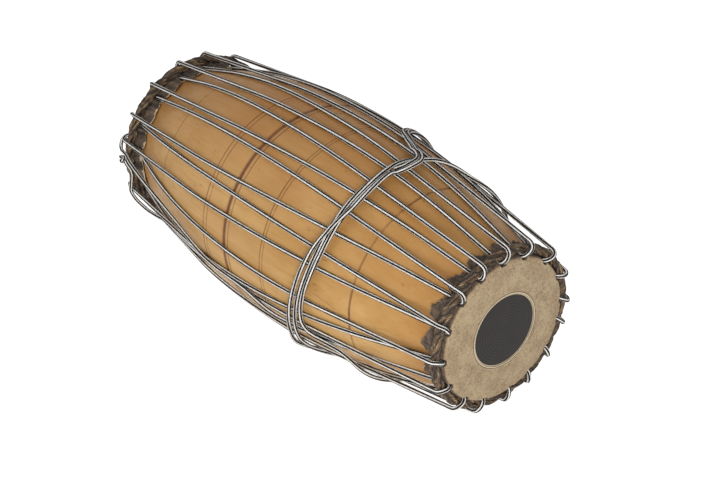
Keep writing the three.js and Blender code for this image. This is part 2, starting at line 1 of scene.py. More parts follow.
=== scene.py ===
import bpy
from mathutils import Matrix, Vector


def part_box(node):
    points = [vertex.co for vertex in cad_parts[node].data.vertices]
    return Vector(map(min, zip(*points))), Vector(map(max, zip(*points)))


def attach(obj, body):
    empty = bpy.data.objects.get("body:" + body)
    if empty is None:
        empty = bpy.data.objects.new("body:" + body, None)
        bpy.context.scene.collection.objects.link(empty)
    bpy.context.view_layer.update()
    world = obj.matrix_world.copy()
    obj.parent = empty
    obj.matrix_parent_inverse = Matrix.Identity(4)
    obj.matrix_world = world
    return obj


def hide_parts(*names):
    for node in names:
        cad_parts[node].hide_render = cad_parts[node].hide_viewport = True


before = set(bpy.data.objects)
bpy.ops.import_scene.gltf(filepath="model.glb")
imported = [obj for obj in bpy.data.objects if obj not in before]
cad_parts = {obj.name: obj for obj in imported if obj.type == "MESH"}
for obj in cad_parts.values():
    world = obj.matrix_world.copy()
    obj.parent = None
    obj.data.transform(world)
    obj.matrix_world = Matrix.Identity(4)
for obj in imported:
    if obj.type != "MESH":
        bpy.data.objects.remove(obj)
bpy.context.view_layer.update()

from types import SimpleNamespace

import bpy
import numpy as np
from mathutils import Matrix, Vector

# The view: the drum lies on its side and is seen from the front, above its small head. The camera
# was fitted to the black disc's outline, the turned lines and the hoops; its place is counted from
# the middle between the drum's two faces.

half_length = 0.290
treble_rim_depth = 0.0043
shell_low, shell_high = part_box("shell")
axis_x = shell_high.x - (half_length - treble_rim_depth)
axis_y = (shell_low.y + shell_high.y) / 2
axis_z = (shell_low.z + shell_high.z) / 2
camera_offset = Vector((1.1947, -0.9293, 0.8887))
camera_turn, camera_tilt = np.radians(50.912), np.radians(31.153)

camera_right = Vector((np.cos(camera_turn), np.sin(camera_turn), 0))
camera_back = Vector((
    np.sin(camera_turn) * np.cos(camera_tilt),
    -np.cos(camera_turn) * np.cos(camera_tilt),
    np.sin(camera_tilt),
))
camera = bpy.data.objects.new("camera", bpy.data.cameras.new("camera"))
camera.data.lens = 75
camera.data.sensor_width = 36
camera.data.clip_start, camera.data.clip_end = 0.05, 50
camera.matrix_world = Matrix.Translation(Vector((axis_x, axis_y, axis_z)) + camera_offset) @ Matrix(
    (camera_right, camera_back.cross(camera_right), camera_back)).transposed().to_4x4()
bpy.context.scene.collection.objects.link(camera)
bpy.context.scene.camera = camera
bpy.context.scene.view_settings.view_transform = "Standard"


# The wooden shell: one block of wood, turned outside to a barrel and hollowed from both ends. The
# turner's chisel left lines round it. The wood is oiled; its colour carries painted shade, darker in
# patches over the top and near both heads.

belly_radius = 0.131
belly_station = -0.033
belly_wall = 0.027
rim_round = 0.0025
treble = SimpleNamespace(side=1, rim=shell_high.x - axis_x, rim_radius=0.075, wall=0.011, power=2.2)
bass = SimpleNamespace(side=-1, rim=shell_low.x - axis_x, rim_radius=0.0865, wall=0.016, power=2.25)

# Turned lines: station, half width, depth, how dark, how uneven
turned_lines = np.array([
    [-0.1827, 0.0008, 0.0004, 0.60, 0.5],
    [-0.0770, 0.0008, 0.0005, 0.85, 0.3],
    [-0.0705, 0.0007, 0.0004, 0.75, 0.4],
    [-0.0340, 0.0024, 0.0009, 1.00, 0.1],
    [-0.0265, 0.0009, 0.0004, 0.80, 0.4],
    [0.0325, 0.0008, 0.0005, 0.80, 0.4],
    [0.0370, 0.0007, 0.0004, 0.70, 0.4],
    [0.1682, 0.0012, 0.0005, 0.90, 0.7],
])

# Scars in the wood: station and angle of both ends, width, how dark
scars = [
    ((-0.020, 92), (-0.008, 101), 0.0015, 0.8), ((-0.004, 95), (0.004, 98), 0.0012, 0.7),
    ((0.020, 100), (0.034, 108), 0.0016, 0.8), ((0.040, 100), (0.058, 106), 0.0013, 0.6),
    ((0.120, 4), (0.150, 1), 0.0008, 0.6), ((-0.120, 60), (-0.020, 57), 0.0006, 0.3),
    ((0.060, 40), (0.130, 38), 0.0006, 0.3), ((0.030, 72), (0.100, 70), 0.0006, 0.3),
]


def around(station, radius, degrees):
    """Points at a station from the drum's middle, a radius from its axis and an angle round it: 0 faces
    -Y and 90 is up."""
    station, radius, angle = np.broadcast_arrays(station, radius, np.radians(degrees))
    return np.stack([
        axis_x + station, axis_y - radius * np.cos(angle), axis_z + radius * np.sin(angle)], axis=-1)


def way_to_rim(station):
    """Share of the way from the belly to the rim on the station's side."""
    rim = np.where(station > belly_station, treble.rim, bass.rim)
    return ((station - belly_station) / (rim - belly_station)).clip(0, 1)


def barrel_radius(station):
    """Radius of the bare wood: it falls from the belly to each rim by a power of the share of the way."""
    share = way_to_rim(station)
    drop = np.where(
        station > belly_station,
        (belly_radius - treble.rim_radius) * share ** treble.power,
        (belly_radius - bass.rim_radius) * share ** bass.power,
    )
    return belly_radius - drop


def wander(along, seed, waves, terms=6):
    """Smooth noise from -1 to 1: a sum of sines of growing pitch and falling height with random starts."""
    random = np.random.default_rng(seed)
    total, reach = 0, 0
    for term in range(1, terms + 1):
        total = total + np.sin(2 * np.pi * (along * round(waves * term ** 1.3) + random.random())) / term
        reach += 0.7 / term
    return total / reach


def surface(name, grid, ring_rows=False, capped=False, flipped=False, wrap_length=None, marks=None):
    """A mesh from a grid of points, a face between each four neighbours. Each row closes on itself, and the
    last row may join the first; caps are fans about the middle of the first and last row. wrap_length is
    the height of the UV map, one row being 1 wide, and marks are numbers kept on the points."""
    rows, columns = grid.shape[:2]
    row_starts = np.arange(rows if ring_rows else rows - 1)
    row, column = np.meshgrid(row_starts, np.arange(columns), indexing="ij")
    row_corners = np.stack([row, row, row + 1, row + 1], axis=-1).reshape(-1, 4)
    column_corners = np.stack([column, column + 1, column + 1, column], axis=-1).reshape(-1, 4)
    if flipped:
        row_corners, column_corners = row_corners[:, ::-1], column_corners[:, ::-1]
    faces = ((row_corners % rows) * columns + column_corners % columns).tolist()
    points = grid.reshape(-1, 3)
    corners = [np.stack([column_corners.ravel(), row_corners.ravel()], axis=-1)]
    if capped:
        points = np.concatenate([points, grid[[0, -1]].mean(axis=1)])
        start = np.arange(columns)
        ends = ((0, rows * columns, flipped), (rows - 1, rows * columns + 1, not flipped))
        for at, middle, turned in ends:
            here, there = (start + 1, start) if turned else (start, start + 1)
            fan = [at * columns + there % columns, at * columns + here % columns, np.full(columns, middle)]
            faces += np.stack(fan, axis=-1).tolist()
            fan_columns = np.stack([there, here, here], axis=-1).ravel()
            corners.append(np.stack([fan_columns, np.full(3 * columns, at)], axis=-1))
    mesh = bpy.data.meshes.new(name)
    mesh.from_pydata(points.tolist(), [], faces)
    mesh.shade_smooth()
    if wrap_length is not None:
        spots = np.concatenate(corners) * [1 / columns, wrap_length / (rows - 1)]
        mesh.uv_layers.new(name="wrap").data.foreach_set("uv", spots.astype(np.float32).ravel())
    for mark, values in (marks or {}).items():
        kept = np.zeros(len(points), np.float32)
        kept[:rows * columns] = np.broadcast_to(values, (rows, columns)).ravel()
        mesh.attributes.new(mark, "FLOAT", "POINT").data.foreach_set("value", kept)
    piece = bpy.data.objects.new(name, mesh)
    bpy.context.scene.collection.objects.link(piece)
    return piece


def put_on(piece, material, slot, *nodes):
    """The piece gets its material, stands for its CAD nodes and rides on the drum; the slot is not used."""
    piece.data.materials.append(material)
    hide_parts(*nodes)
    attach(piece, "root")


# A turned line's stations: how far they reach to its sides, their step, and how far the line may drift
line_reach, line_step, line_drift = 0.003, 0.0004, 0.0006
shell_step = 1.5
outside_rows, bore_rows, rim_rows = 170, 44, 5


def shell_surface():
    """The barrel's outline, less a bell-shaped dip at each turned line, swept round the axis with the bore
    and the rounded rims as one closed outline."""
    angles = np.arange(0, 360, shell_step)
    even = np.linspace(bass.rim + rim_round, treble.rim - rim_round, outside_rows)
    near_lines = turned_lines[:, :1] + np.arange(-line_reach, line_reach + line_step / 4, line_step)
    stations = np.unique(np.round(np.concatenate([even, near_lines.ravel()]), 4))
    depth, dark = np.zeros((2, len(stations), len(angles)))
    for i, (place, width, deep, strength, uneven) in enumerate(turned_lines):
        drift = place + line_drift * uneven * wander(angles / 360, 10 + i, 3)
        dip = np.exp(-((stations[:, None] - drift) / width) ** 2)
        kept = 1 - uneven * (0.5 + 0.5 * wander(angles / 360, 30 + i, 4)).clip(0, 1)
        depth = np.maximum(depth, deep * dip * kept)
        dark = np.maximum(dark, strength * np.minimum(1, 1.5 * dip) * kept)
    outside = barrel_radius(stations)[:, None] - depth
    bend = np.linspace(0, np.pi / 2, rim_rows + 1)[:-1]
    rims = {}
    for head in (treble, bass):
        edge = head.rim - head.side * rim_round
        rim_radius = barrel_radius(edge) - rim_round * (1 - np.sin(bend))
        rims[head.side] = edge + head.side * rim_round * np.cos(bend), rim_radius[:, None]
    bore = np.linspace(treble.rim, bass.rim, bore_rows)
    rim_wall = np.where(bore > belly_station, treble.wall, bass.wall)
    wall = belly_wall + (rim_wall - belly_wall) * way_to_rim(bore)
    treble_rim = [part[::-1] for part in rims[1]]
    parts = [rims[-1], (stations, outside), treble_rim, (bore, (barrel_radius(bore) - wall)[:, None])]
    station = np.concatenate([along for along, _ in parts])
    radius = np.concatenate([np.broadcast_to(across, (len(along), len(angles))) for along, across in parts])
    lines = np.zeros(radius.shape)
    lines[rim_rows:rim_rows + len(stations)] = dark
    points = around(station[:, None], radius, angles)
    return surface("wooden_shell", points, ring_rows=True, marks={"line": lines})


def paint(red, green, blue):
    """A colour as it is seen, 0 to 255, as the linear value that a shader takes."""
    seen = np.array([red, green, blue]) / 255
    return (*np.where(seen <= 0.04045, seen / 12.92, ((seen + 0.055) / 1.055) ** 2.4), 1.0)


def shader(tree, kind, inputs=None, **settings):
    """One shader node: its own settings, and its inputs as numbers, colours or other nodes' outputs."""
    made = tree.nodes.new(kind)
    for name, value in settings.items():
        setattr(made, name, value)
    for name, value in (inputs or {}).items():
        if isinstance(value, bpy.types.NodeSocket):
            tree.links.new(value, made.inputs[name])
        else:
            made.inputs[name].default_value = value
    return made


def blended(tree, share, first, second):
    """First colour turned into the second by a share from 0 to 1."""
    return shader(tree, "ShaderNodeMix", {0: share, 6: first, 7: second}, data_type="RGBA").outputs[2]


def sums(tree, operation, first, second=0.0, third=0.0):
    """One arithmetic step on shader values."""
    return shader(tree, "ShaderNodeMath", {0: first, 1: second, 2: third}, operation=operation).outputs[0]


def times(tree, first, second):
    """Two shader values multiplied."""
    return sums(tree, "MULTIPLY", first, second)


def stepped(tree, value, low, high, to_low=0.0, to_high=1.0):
    """A value carried from one range to another, smooth at both ends and held beyond them."""
    return shader(tree, "ShaderNodeMapRange", {
        "Value": value, "From Min": low, "From Max": high, "To Min": to_low, "To Max": to_high,
    }, interpolation_type="SMOOTHSTEP").outputs["Result"]


def noise(tree, place, scale, detail=4.0, roughness=0.55, distortion=0.0):
    """Blender's smooth noise at a place, as a value from 0 to 1."""
    return shader(tree, "ShaderNodeTexNoise", {
        "Vector": place, "Scale": scale, "Detail": detail, "Roughness": roughness, "Distortion": distortion,
    }).outputs["Fac"]


def stretched_place(tree, place, scale):
    """The place with its three directions drawn out or pressed together about the drum's axis."""
    location = (0, -axis_y * scale[1], -axis_z * scale[2])
    inputs = {"Vector": place, "Location": location, "Scale": scale}
    return shader(tree, "ShaderNodeMapping", inputs).outputs["Vector"]


def effect(name, takes, gives):
    """A shader group with named inputs and outputs, and the nodes that stand for them."""
    tree = bpy.data.node_groups.new(name, "ShaderNodeTree")
    for socket, kind, value in takes:
        made = tree.interface.new_socket(socket, in_out="INPUT", socket_type=kind)
        if value is not None:
            made.default_value = value
    for socket, kind in gives:
        tree.interface.new_socket(socket, in_out="OUTPUT", socket_type=kind)
    return tree, tree.nodes.new("NodeGroupInput").outputs, tree.nodes.new("NodeGroupOutput").inputs


def use(tree, group, inputs):
    """A shader group placed in a material with its own values."""
    return shader(tree, "ShaderNodeGroup", inputs, node_tree=group).outputs


def mark_of(tree, name):
    """A number that is kept on the mesh's points."""
    return shader(tree, "ShaderNodeAttribute", attribute_name=name).outputs["Fac"]


def finish(name, roughness=0.5, specular=0.5):
    """A new material with its node tree, its place on the object and its Principled shader."""
    material = bpy.data.materials.new(name)
    material.use_nodes = True
    tree = material.node_tree
    tree.nodes.clear()
    body = shader(tree, "ShaderNodeBsdfPrincipled", {"Roughness": roughness, "Specular IOR Level": specular})
    output = shader(tree, "ShaderNodeOutputMaterial")
    tree.links.new(body.outputs[0], output.inputs[0])
    place = shader(tree, "ShaderNodeTexCoord").outputs["Object"]
    return material, tree, place, body.inputs


def relief(tree, height, distance):
    """A normal that is bent by a height."""
    inputs = {"Height": height, "Distance": distance, "Strength": 1.0}
    return shader(tree, "ShaderNodeBump", inputs).outputs["Normal"]


# Mottle: a colour that turns to a second one in soft patches, with a finer mottle inside them
mottle, given, out = effect("mottle", [
    ("Place", "NodeSocketVector", None),
    ("First", "NodeSocketColor", None),
    ("Second", "NodeSocketColor", None),
    ("Patch Scale", "NodeSocketFloat", 20.0),
    ("Fine Scale", "NodeSocketFloat", 200.0),
    ("Balance", "NodeSocketFloat", 0.5),
], [("Color", "NodeSocketColor"), ("Share", "NodeSocketFloat")])
patches = noise(mottle, given["Place"], given["Patch Scale"], 3.0, 0.6)
fine = noise(mottle, given["Place"], given["Fine Scale"], 3.0, 0.6)
patch_part, patch_edge = 0.62, 0.14
together = sums(mottle, "ADD", times(mottle, patches, patch_part), times(mottle, fine, 1 - patch_part))
edge_low = sums(mottle, "SUBTRACT", given["Balance"], patch_edge)
edge_high = sums(mottle, "ADD", given["Balance"], patch_edge)
share = stepped(mottle, together, edge_low, edge_high)
mottle.links.new(blended(mottle, share, given["First"], given["Second"]), out["Color"])
mottle.links.new(share, out["Share"])

# Flecks: small sparse spots, as a mask
flecks, given, out = effect("flecks", [
    ("Place", "NodeSocketVector", None),
    ("Scale", "NodeSocketFloat", 120.0),
    ("Share", "NodeSocketFloat", 0.3),
], [("Mask", "NodeSocketFloat")])
spots = noise(flecks, given["Place"], given["Scale"], 2.0, 0.5)
top = sums(flecks, "SUBTRACT", 0.8, times(flecks, given["Share"], 0.4))
flecks.links.new(stepped(flecks, spots, top, sums(flecks, "ADD", top, 0.06)), out["Mask"])


def mottled(tree, place, first, second, patch_scale, fine_scale, balance=0.5):
    """The mottle placed in a material."""
    return use(tree, mottle, {
        "Place": place, "First": first, "Second": second,
        "Patch Scale": patch_scale, "Fine Scale": fine_scale, "Balance": balance})


def flecked(tree, place, scale, share):
    """The flecks placed in a material."""
    return use(tree, flecks, {"Place": place, "Scale": scale, "Share": share})["Mask"]


# Stroke: a scratch or a stain from one point to another, as a mask with a soft and wavering edge
stroke, given, out = effect("stroke", [
    ("Place", "NodeSocketVector", None),
    ("From", "NodeSocketVector", None),
    ("To", "NodeSocketVector", None),
    ("Width", "NodeSocketFloat", 0.001),
    ("Strength", "NodeSocketFloat", 1.0),
], [("Mask", "NodeSocketFloat")])


def vector_step(tree, operation, first, second=(0, 0, 0), scale=1.0):
    """One arithmetic step on shader vectors."""
    inputs = {0: first, 1: second, 3: scale}
    return shader(tree, "ShaderNodeVectorMath", inputs, operation=operation).outputs


run = vector_step(stroke, "SUBTRACT", given["To"], given["From"])["Vector"]
reach = vector_step(stroke, "SUBTRACT", given["Place"], given["From"])["Vector"]
covered = vector_step(stroke, "DOT_PRODUCT", reach, run)["Value"]
whole = vector_step(stroke, "DOT_PRODUCT", run, run)["Value"]
along = shader(stroke, "ShaderNodeClamp", {"Value": sums(stroke, "DIVIDE", covered, whole)}).outputs["Result"]
nearest = vector_step(stroke, "SCALE", run, scale=along)["Vector"]
away = vector_step(stroke, "LENGTH", vector_step(stroke, "SUBTRACT", reach, nearest)["Vector"])["Value"]
waver = times(stroke, noise(stroke, given["Place"], 300.0, 3.0, 0.6), given["Width"])
away = sums(stroke, "ADD", away, times(stroke, waver, 1.4))
mask = stepped(stroke, away, times(stroke, given["Width"], 1.7), times(stroke, given["Width"], 0.7))
stroke.links.new(times(stroke, mask, given["Strength"]), out["Mask"])

wood, tree, place, body = finish("wood", specular=0.35)
along_grain = stretched_place(tree, place, (1.6, 26.0, 26.0))
fine_grain = stretched_place(tree, place, (9.0, 260.0, 260.0))
patch_place = stretched_place(tree, place, (0.55, 1.0, 1.0))
figure = noise(tree, along_grain, 1.0, 5.0, 0.6, 0.4)
fibres = noise(tree, fine_grain, 1.0, 4.0, 0.6)
colour = mottled(tree, patch_place, paint(206, 164, 104), paint(189, 145, 84), 9.0, 34.0, 0.52)["Color"]
colour = blended(tree, stepped(tree, figure, 0.42, 0.68, 0.0, 0.55), colour, paint(172, 124, 64))
colour = blended(tree, stepped(tree, fibres, 0.5, 0.75, 0.0, 0.35), colour, paint(160, 112, 56))
station = shader(tree, "ShaderNodeSeparateXYZ", {"Vector": place}).outputs
height = sums(tree, "SUBTRACT", station["Z"], axis_z)
front = sums(tree, "SUBTRACT", axis_y, station["Y"])
turned = sums(tree, "ARCTAN2", height, front)
# Painted shade: patches of darker wood over the top of the barrel, where the light falls less.
shade_patches = noise(tree, patch_place, 16.0, 4.0, 0.6)
high_up = stepped(tree, height, 0.03, 0.14)
painted_top_shade = times(tree, high_up, stepped(tree, shade_patches, 0.2, 0.75, 0.45, 0.95))
colour = blended(tree, painted_top_shade, colour, paint(172, 116, 54))
# Painted shade: patches of darker wood near both heads, beside the hoops and skirts.
near_treble = stepped(tree, station["X"], 0.19, 0.272)
near_bass = stepped(tree, station["X"], -0.17, -0.262)
near_heads = sums(tree, "MAXIMUM", near_treble, near_bass)
covered = times(tree, near_heads, stepped(tree, shade_patches, 0.3, 0.7, 0.3, 0.9))
colour = blended(tree, covered, colour, paint(160, 108, 50))
pores = flecked(tree, stretched_place(tree, place, (0.5, 1.6, 1.6)), 160.0, 0.28)
colour = blended(tree, times(tree, pores, 0.4), colour, paint(112, 76, 40))
unrolled = shader(tree, "ShaderNodeCombineXYZ", {
    "X": sums(tree, "SUBTRACT", station["X"], axis_x),
    "Y": times(tree, turned, belly_radius),
}).outputs["Vector"]
for *ends, width, strength in scars:
    first_end, last_end = ((along, np.radians(angle) * belly_radius, 0) for along, angle in ends)
    mask = use(tree, stroke, {
        "Place": unrolled, "From": first_end, "To": last_end, "Width": width, "Strength": strength})["Mask"]
    colour = blended(tree, mask, colour, paint(92, 58, 30))
colour = blended(tree, mark_of(tree, "line"), colour, paint(104, 58, 26))
tree.links.new(colour, body["Base Color"])
tree.links.new(stepped(tree, fibres, 0.3, 0.7, 0.42, 0.6), body["Roughness"])
tree.links.new(relief(tree, fibres, 0.00012), body["Normal"])

put_on(shell_surface(), wood, "wood", "shell")


# The support rings: a ring of plain hide is folded over each rim, under the membrane, so that the
# membrane doesn't lie on the wood. Its CAD solid shows only where a head is opened.

pale_hide, tree, place, body = finish("pale_hide", 0.62)
colour = mottled(tree, place, paint(203, 188, 160), paint(178, 158, 126), 40.0, 420.0)
pores = times(tree, flecked(tree, place, 900.0, 0.3), 0.3)
tree.links.new(blended(tree, pores, colour["Color"], paint(140, 116, 86)), body["Base Color"])
tree.links.new(relief(tree, colour["Share"], 0.0002), body["Normal"])

for label in ("treble", "bass"):
    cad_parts[f"{label}_support_ring"].data.materials[0] = pale_hide


# The membranes: each is the skin that sounds, one thin disc of hide, soaked and folded over the rim.
# On the treble side the tuning paste draws it up to the face of the outer skin.

treble.opening, bass.opening = 0.0429, 0.05796
treble.face, bass.face = half_length, -half_length
hide_gap = 0.0003
ring_thickness, membrane_thickness, skin_thickness = 0.0007, 0.0006, 0.001
treble.membrane_depth, bass.membrane_depth = 0.0024, 0.0013
treble.hoop_depth, bass.hoop_depth = 0.008, 0.013
membrane_tuck = 0.00075
hub = 0.0005
head_angles = np.arange(0, 360, 2.0)
membrane_inner = 2 * hide_gap + ring_thickness
membrane_outer = membrane_inner + membrane_thickness


def rounded(outline, rounds):
    """An open outline with its corners cut: each span gives points at its quarter and three quarters."""
    for _ in range(rounds):
        first, second = outline[:-1], outline[1:]
        cut = np.stack([0.75 * first + 0.25 * second, 0.25 * first + 0.75 * second], axis=1)
        outline = np.concatenate([outline[:1], cut.reshape(-1, *outline.shape[1:]), outline[-1:]])
    return outline


def wood_at(head, depth):
    """Radius of the wood at a depth behind the drum's face, held at the rim's own beyond the rim."""
    return barrel_radius(np.clip(head.face - head.side * depth, bass.rim, treble.rim))


def membrane_surface(label, head, rise):
    """Outline of the membrane, out from the middle over the rim and back under itself, swept round. Under
    the paste it rises towards the face, with a soft step at the opening."""
    edge = abs(head.face - head.rim) + rim_round
    corner = wood_at(head, edge) - rim_round
    tuck = head.hoop_depth + membrane_tuck
    depth = head.membrane_depth
    face = [[depth - rise, hub], [depth - rise, head.opening - 0.002],
            [depth - 0.7 * rise, head.opening], [depth, head.opening + 0.004]]
    outer = face + [[depth, corner + 0.3 * membrane_outer], [edge, wood_at(head, edge) + membrane_outer],
                    [tuck, wood_at(head, tuck) + membrane_outer]]
    inner = [[tuck, wood_at(head, tuck) + membrane_inner], [edge, wood_at(head, edge) + membrane_inner],
             [depth + membrane_thickness, corner + 0.3 * membrane_inner]]
    inner += [[place + membrane_thickness, radius] for place, radius in face[::-1]]
    outline = rounded(np.array(outer + inner), 2)
    points = around((head.face - head.side * outline[:, 0])[:, None], outline[:, 1:2], head_angles)
    return surface(f"{label}_drum_skin", points, capped=True, flipped=head.side < 0)


put_on(membrane_surface("treble", treble, 0.0018), pale_hide, "pale_hide", "treble_membrane")
put_on(membrane_surface("bass", bass, 0.0), pale_hide, "pale_hide", "bass_membrane")


# The tone reeds: sixteen straws lie like spokes between the membrane and the outer skin and make the
# drum's buzz. They are cut from dry grass, slipped in dry and held by the pressure of the skin.

straw, tree, place, body = finish("straw", 0.55)
stalk_grain = noise(tree, stretched_place(tree, place, (400.0, 40.0, 40.0)), 1.0, 3.0, 0.6)
stalk = stepped(tree, stalk_grain, 0.35, 0.7)
tree.links.new(blended(tree, stalk, paint(214, 195, 140), paint(178, 152, 96)), body["Base Color"])
for i in range(16):
    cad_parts[f"tone_reed_{i + 1:02d}"].data.materials[0] = straw


# The tuning paste: a disc of iron dust and boiled starch, rubbed on in many thin layers and polished
# with a stone. It is dull black, a little crowned, and keeps faint rings of the stone's rubbing.

paste_radius = treble.opening - 0.0014
paste_crown = 0.0006
paste_base = 0.0012
paste_edge = [0.00004, 0.0001, 0.0003]
paste_ripple = 0.00003


def paste_surface():
    """A low crown that falls with the square of the radius to a small rounded edge, closed underneath."""
    share = np.concatenate([np.linspace(0.01, 0.97, 26), [0.985, 0.995, 1.0]])
    ripple = paste_ripple * np.sin(share * 60)
    top = 0.0001 + paste_crown * share ** 2 + ripple
    top[-3:] += paste_edge
    outline = np.concatenate([np.stack([top, share * paste_radius], axis=-1),
                              [[paste_base, paste_radius], [paste_base, hub]]])
    points = around((treble.face - outline[:, 0])[:, None], outline[:, 1:2], head_angles)
    return surface("tuning_paste", points, capped=True)


paste, tree, place, body = finish("tuning_paste", 0.6, 0.25)
colour = mottled(tree, place, paint(33, 29, 28), paint(27, 24, 23), 60.0, 500.0)
across = stretched_place(tree, place, (0.0, 1.0, 1.0))
rubbing = shader(tree, "ShaderNodeTexWave", {
    "Vector": across, "Scale": 90.0, "Distortion": 1.2, "Detail": 2.0, "Detail Scale": 3.0,
}, wave_type="RINGS", rings_direction="X").outputs["Fac"]
shown = blended(tree, times(tree, rubbing, 0.25), colour["Color"], paint(62, 57, 54))
tree.links.new(shown, body["Base Color"])
tree.links.new(relief(tree, rubbing, 0.00003), body["Normal"])
put_on(paste_surface(), paste, "black_paste", "treble_paste_disc")


# The outer skins: a thick ring of rough hide covers the membrane's edge. It was folded over the rim
# wet, and the rope draws it into a notch at each loop; between the notches it stands in folds.

treble.hide_radius, bass.hide_radius = treble.rim_radius + 0.0066, bass.rim_radius + 0.009
treble.margin, bass.margin = 0.027, 0.033
treble.section, bass.section = 0.0055, 0.006
treble.loops = np.array([
    -2.1, 22.6, 46.3, 67.4, 88.2, 109.1, 134, 157.4, 179.2, 195.7, 220, 241.7, 261.9, 288, 309.3, 333.5])
bass.loops = np.array([
    12.7, 30.5, 53.6, 76.5, 96.4, 120.5, 146, 169, 193, 217, 241, 265.1, 287.4, 306, 325.8, 339.7])
rope_diameter = 0.0046
rope_gap = 0.0004
skin_inner = membrane_outer + hide_gap
skin_outer = skin_inner + skin_thickness
notch_middle, notch_half, notch_bank = -2.0, 1.9, 1.7
skin_step = 0.4
rim_line = 0.0023

# How far the margin's outline and the face's edge stray, and how far the free margin lifts and folds
margin_ragged, margin_nicks, margin_lift = 0.0012, 0.0005, 0.0012
edge_frays, edge_waves = 0.0005, 0.0004
crumple_depth, pleat_depth = 0.0008, 0.0014

# Share of the section's rows that lie on its outer side
front_share = 0.72

for head in (treble, bass):
    head.hoop_station = head.face - head.side * head.hoop_depth
    head.hoop_inside = wood_at(head, head.hoop_depth) + skin_outer + 2 * rope_gap + rope_diameter
    head.hoop_radius = head.hoop_inside + head.section


def between_notches(head, degrees):
    """How far each angle is from the nearest notch, in degrees, and its share of the way down from the
    notch above it to the notch below it."""
    notches = np.sort((head.loops + notch_middle) % 360)
    notches = np.concatenate([notches[-1:] - 360, notches, notches[:1] + 360])
    above = np.searchsorted(notches, degrees, side="right")
    high, low = notches[above], notches[above - 1]
    return np.minimum(high - degrees, degrees - low), (high - degrees) / (high - low)


def skin_surface(label, head):
    """The section of the skin in a notch and on a fold, mixed by the fold's height at each angle, with its
    corners rounded; the margin's reach, its lift off the wood and a fine crumple come from smooth noise."""
    degrees = np.arange(0, 360, skin_step)
    around_share = degrees / 360
    near, down = between_notches(head, degrees)
    fold = ((near - notch_half) / notch_bank).clip(0, 1)
    fold = fold ** 2 * (3 - 2 * fold)
    edge = abs(head.face - head.rim) + rim_round
    lap = np.tan(np.pi / 8)
    hoop = head.hoop_depth
    bend = hoop + head.section + 0.002
    tuck = hoop + 0.0015
    flap = np.sin(np.pi * down ** 1.5) ** 0.8
    ragged = head.margin * (0.84 + 0.30 * flap * fold) + margin_ragged * wander(around_share, 3, 23, 9)
    ragged += margin_nicks * wander(around_share, 8, 131, 6)
    lifted = 0.0008 + margin_lift * (1 + wander(around_share, 4, 17, 8))
    frayed = edge_frays * wander(around_share, 6, 90, 8) + edge_waves * wander(around_share, 7, 11, 5)
    under_hoop = head.hoop_inside - rope_gap
    on_wood = hide_gap + skin_thickness
    face = [[-0.0002, head.opening + step, 0] for step in (0, 0.0005, 0.0011)]
    face += [[0.0, head.opening + step, 0] for step in (0.0014, 0.0018, rim_line)]
    face += [[0.0, head.hide_radius * 0.8, 0], [0.0, head.hide_radius - 0.003, 0]]
    under, over_bend = hoop - 0.002, bend + 0.001
    notch_end, ridge_end = head.margin * 0.7, head.margin * 0.8
    notch = [*face, [0.0003, head.hide_radius - 0.0012, 0], [0.0016, head.hide_radius - 0.0016, 0],
             [under, wood_at(head, under) + skin_outer, 0], [tuck, wood_at(head, tuck) + skin_outer, 0],
             [bend, wood_at(head, bend) + on_wood, 0], [notch_end, wood_at(head, notch_end) + on_wood, 0]]
    ridge = [*face, [0.0002, head.hide_radius, 0], [0.0022, head.hide_radius + 0.0022, 0],
             [under, under_hoop, 0], [tuck, under_hoop, 0],
             [over_bend, under_hoop + 0.0052, 0], [ridge_end, wood_at(head, ridge_end) + 0.0055, 0]]
    over_rim = wood_at(head, edge)
    back = [[bend, wood_at(head, bend) + hide_gap, 0], [tuck, wood_at(head, tuck) + skin_inner, 0],
            [edge - skin_inner * lap, over_rim + skin_inner, 0],
            [skin_thickness, over_rim - rim_round + skin_inner * lap, 0], [skin_thickness, head.opening, 0]]
    notch, ridge, back = (np.array(part)[:, None, :] for part in (notch, ridge, back))
    front = notch + (np.maximum(ridge, notch * [0, 1, 0]) - notch) * fold[None, :, None]
    front[len(face), :, 1] += frayed
    wood_there = wood_at(head, ragged) + hide_gap
    whole = np.ones(len(degrees))
    end = np.stack([
        np.stack([ragged - 0.0007, wood_there + skin_thickness + lifted * fold, 0 * whole], axis=-1),
        np.stack([ragged, wood_there + 0.6 * skin_thickness + lifted * fold, whole], axis=-1),
        np.stack([ragged - 0.0002, wood_there + lifted * fold * 0.6, whole], axis=-1),
    ])
    back = np.broadcast_to(back, (len(back), len(degrees), 3))
    section = rounded(np.concatenate([front, end, back]), 2)
    depth, radius, cut = section[..., 0], section[..., 1], section[..., 2]
    row_share = np.linspace(0, 1, len(section))[:, None]
    crumple = wander(around_share[None, :] + 0.006 * np.sin(26 * row_share), 5, 31, 10)
    pleat = 1 - np.abs(wander(around_share[None, :] - 0.03 * row_share, 9, 9, 7)) * 2
    in_front = row_share < front_share
    free = np.clip((depth - hoop) / 0.004, 0, 1) * fold * in_front
    radius = radius + (crumple_depth * crumple + pleat_depth * pleat) * free
    lowest = wood_at(head, depth) + on_wood * np.minimum(1, depth / 0.004)
    radius = np.where(in_front & (depth > 0.002), np.maximum(radius, lowest), radius)
    points = around(head.face - head.side * depth, radius, degrees)
    # The crease mark is where the free margin's pleats dip; the suede paints shade there.
    return surface(f"{label}_hide_ring", points, ring_rows=True, flipped=head.side < 0, marks={
        "depth": depth, "cut": cut, "crease": free * (0.5 - 0.5 * pleat),
        "rim": (radius - head.opening) / rim_line + 1.0 * (depth > 0.0008)})


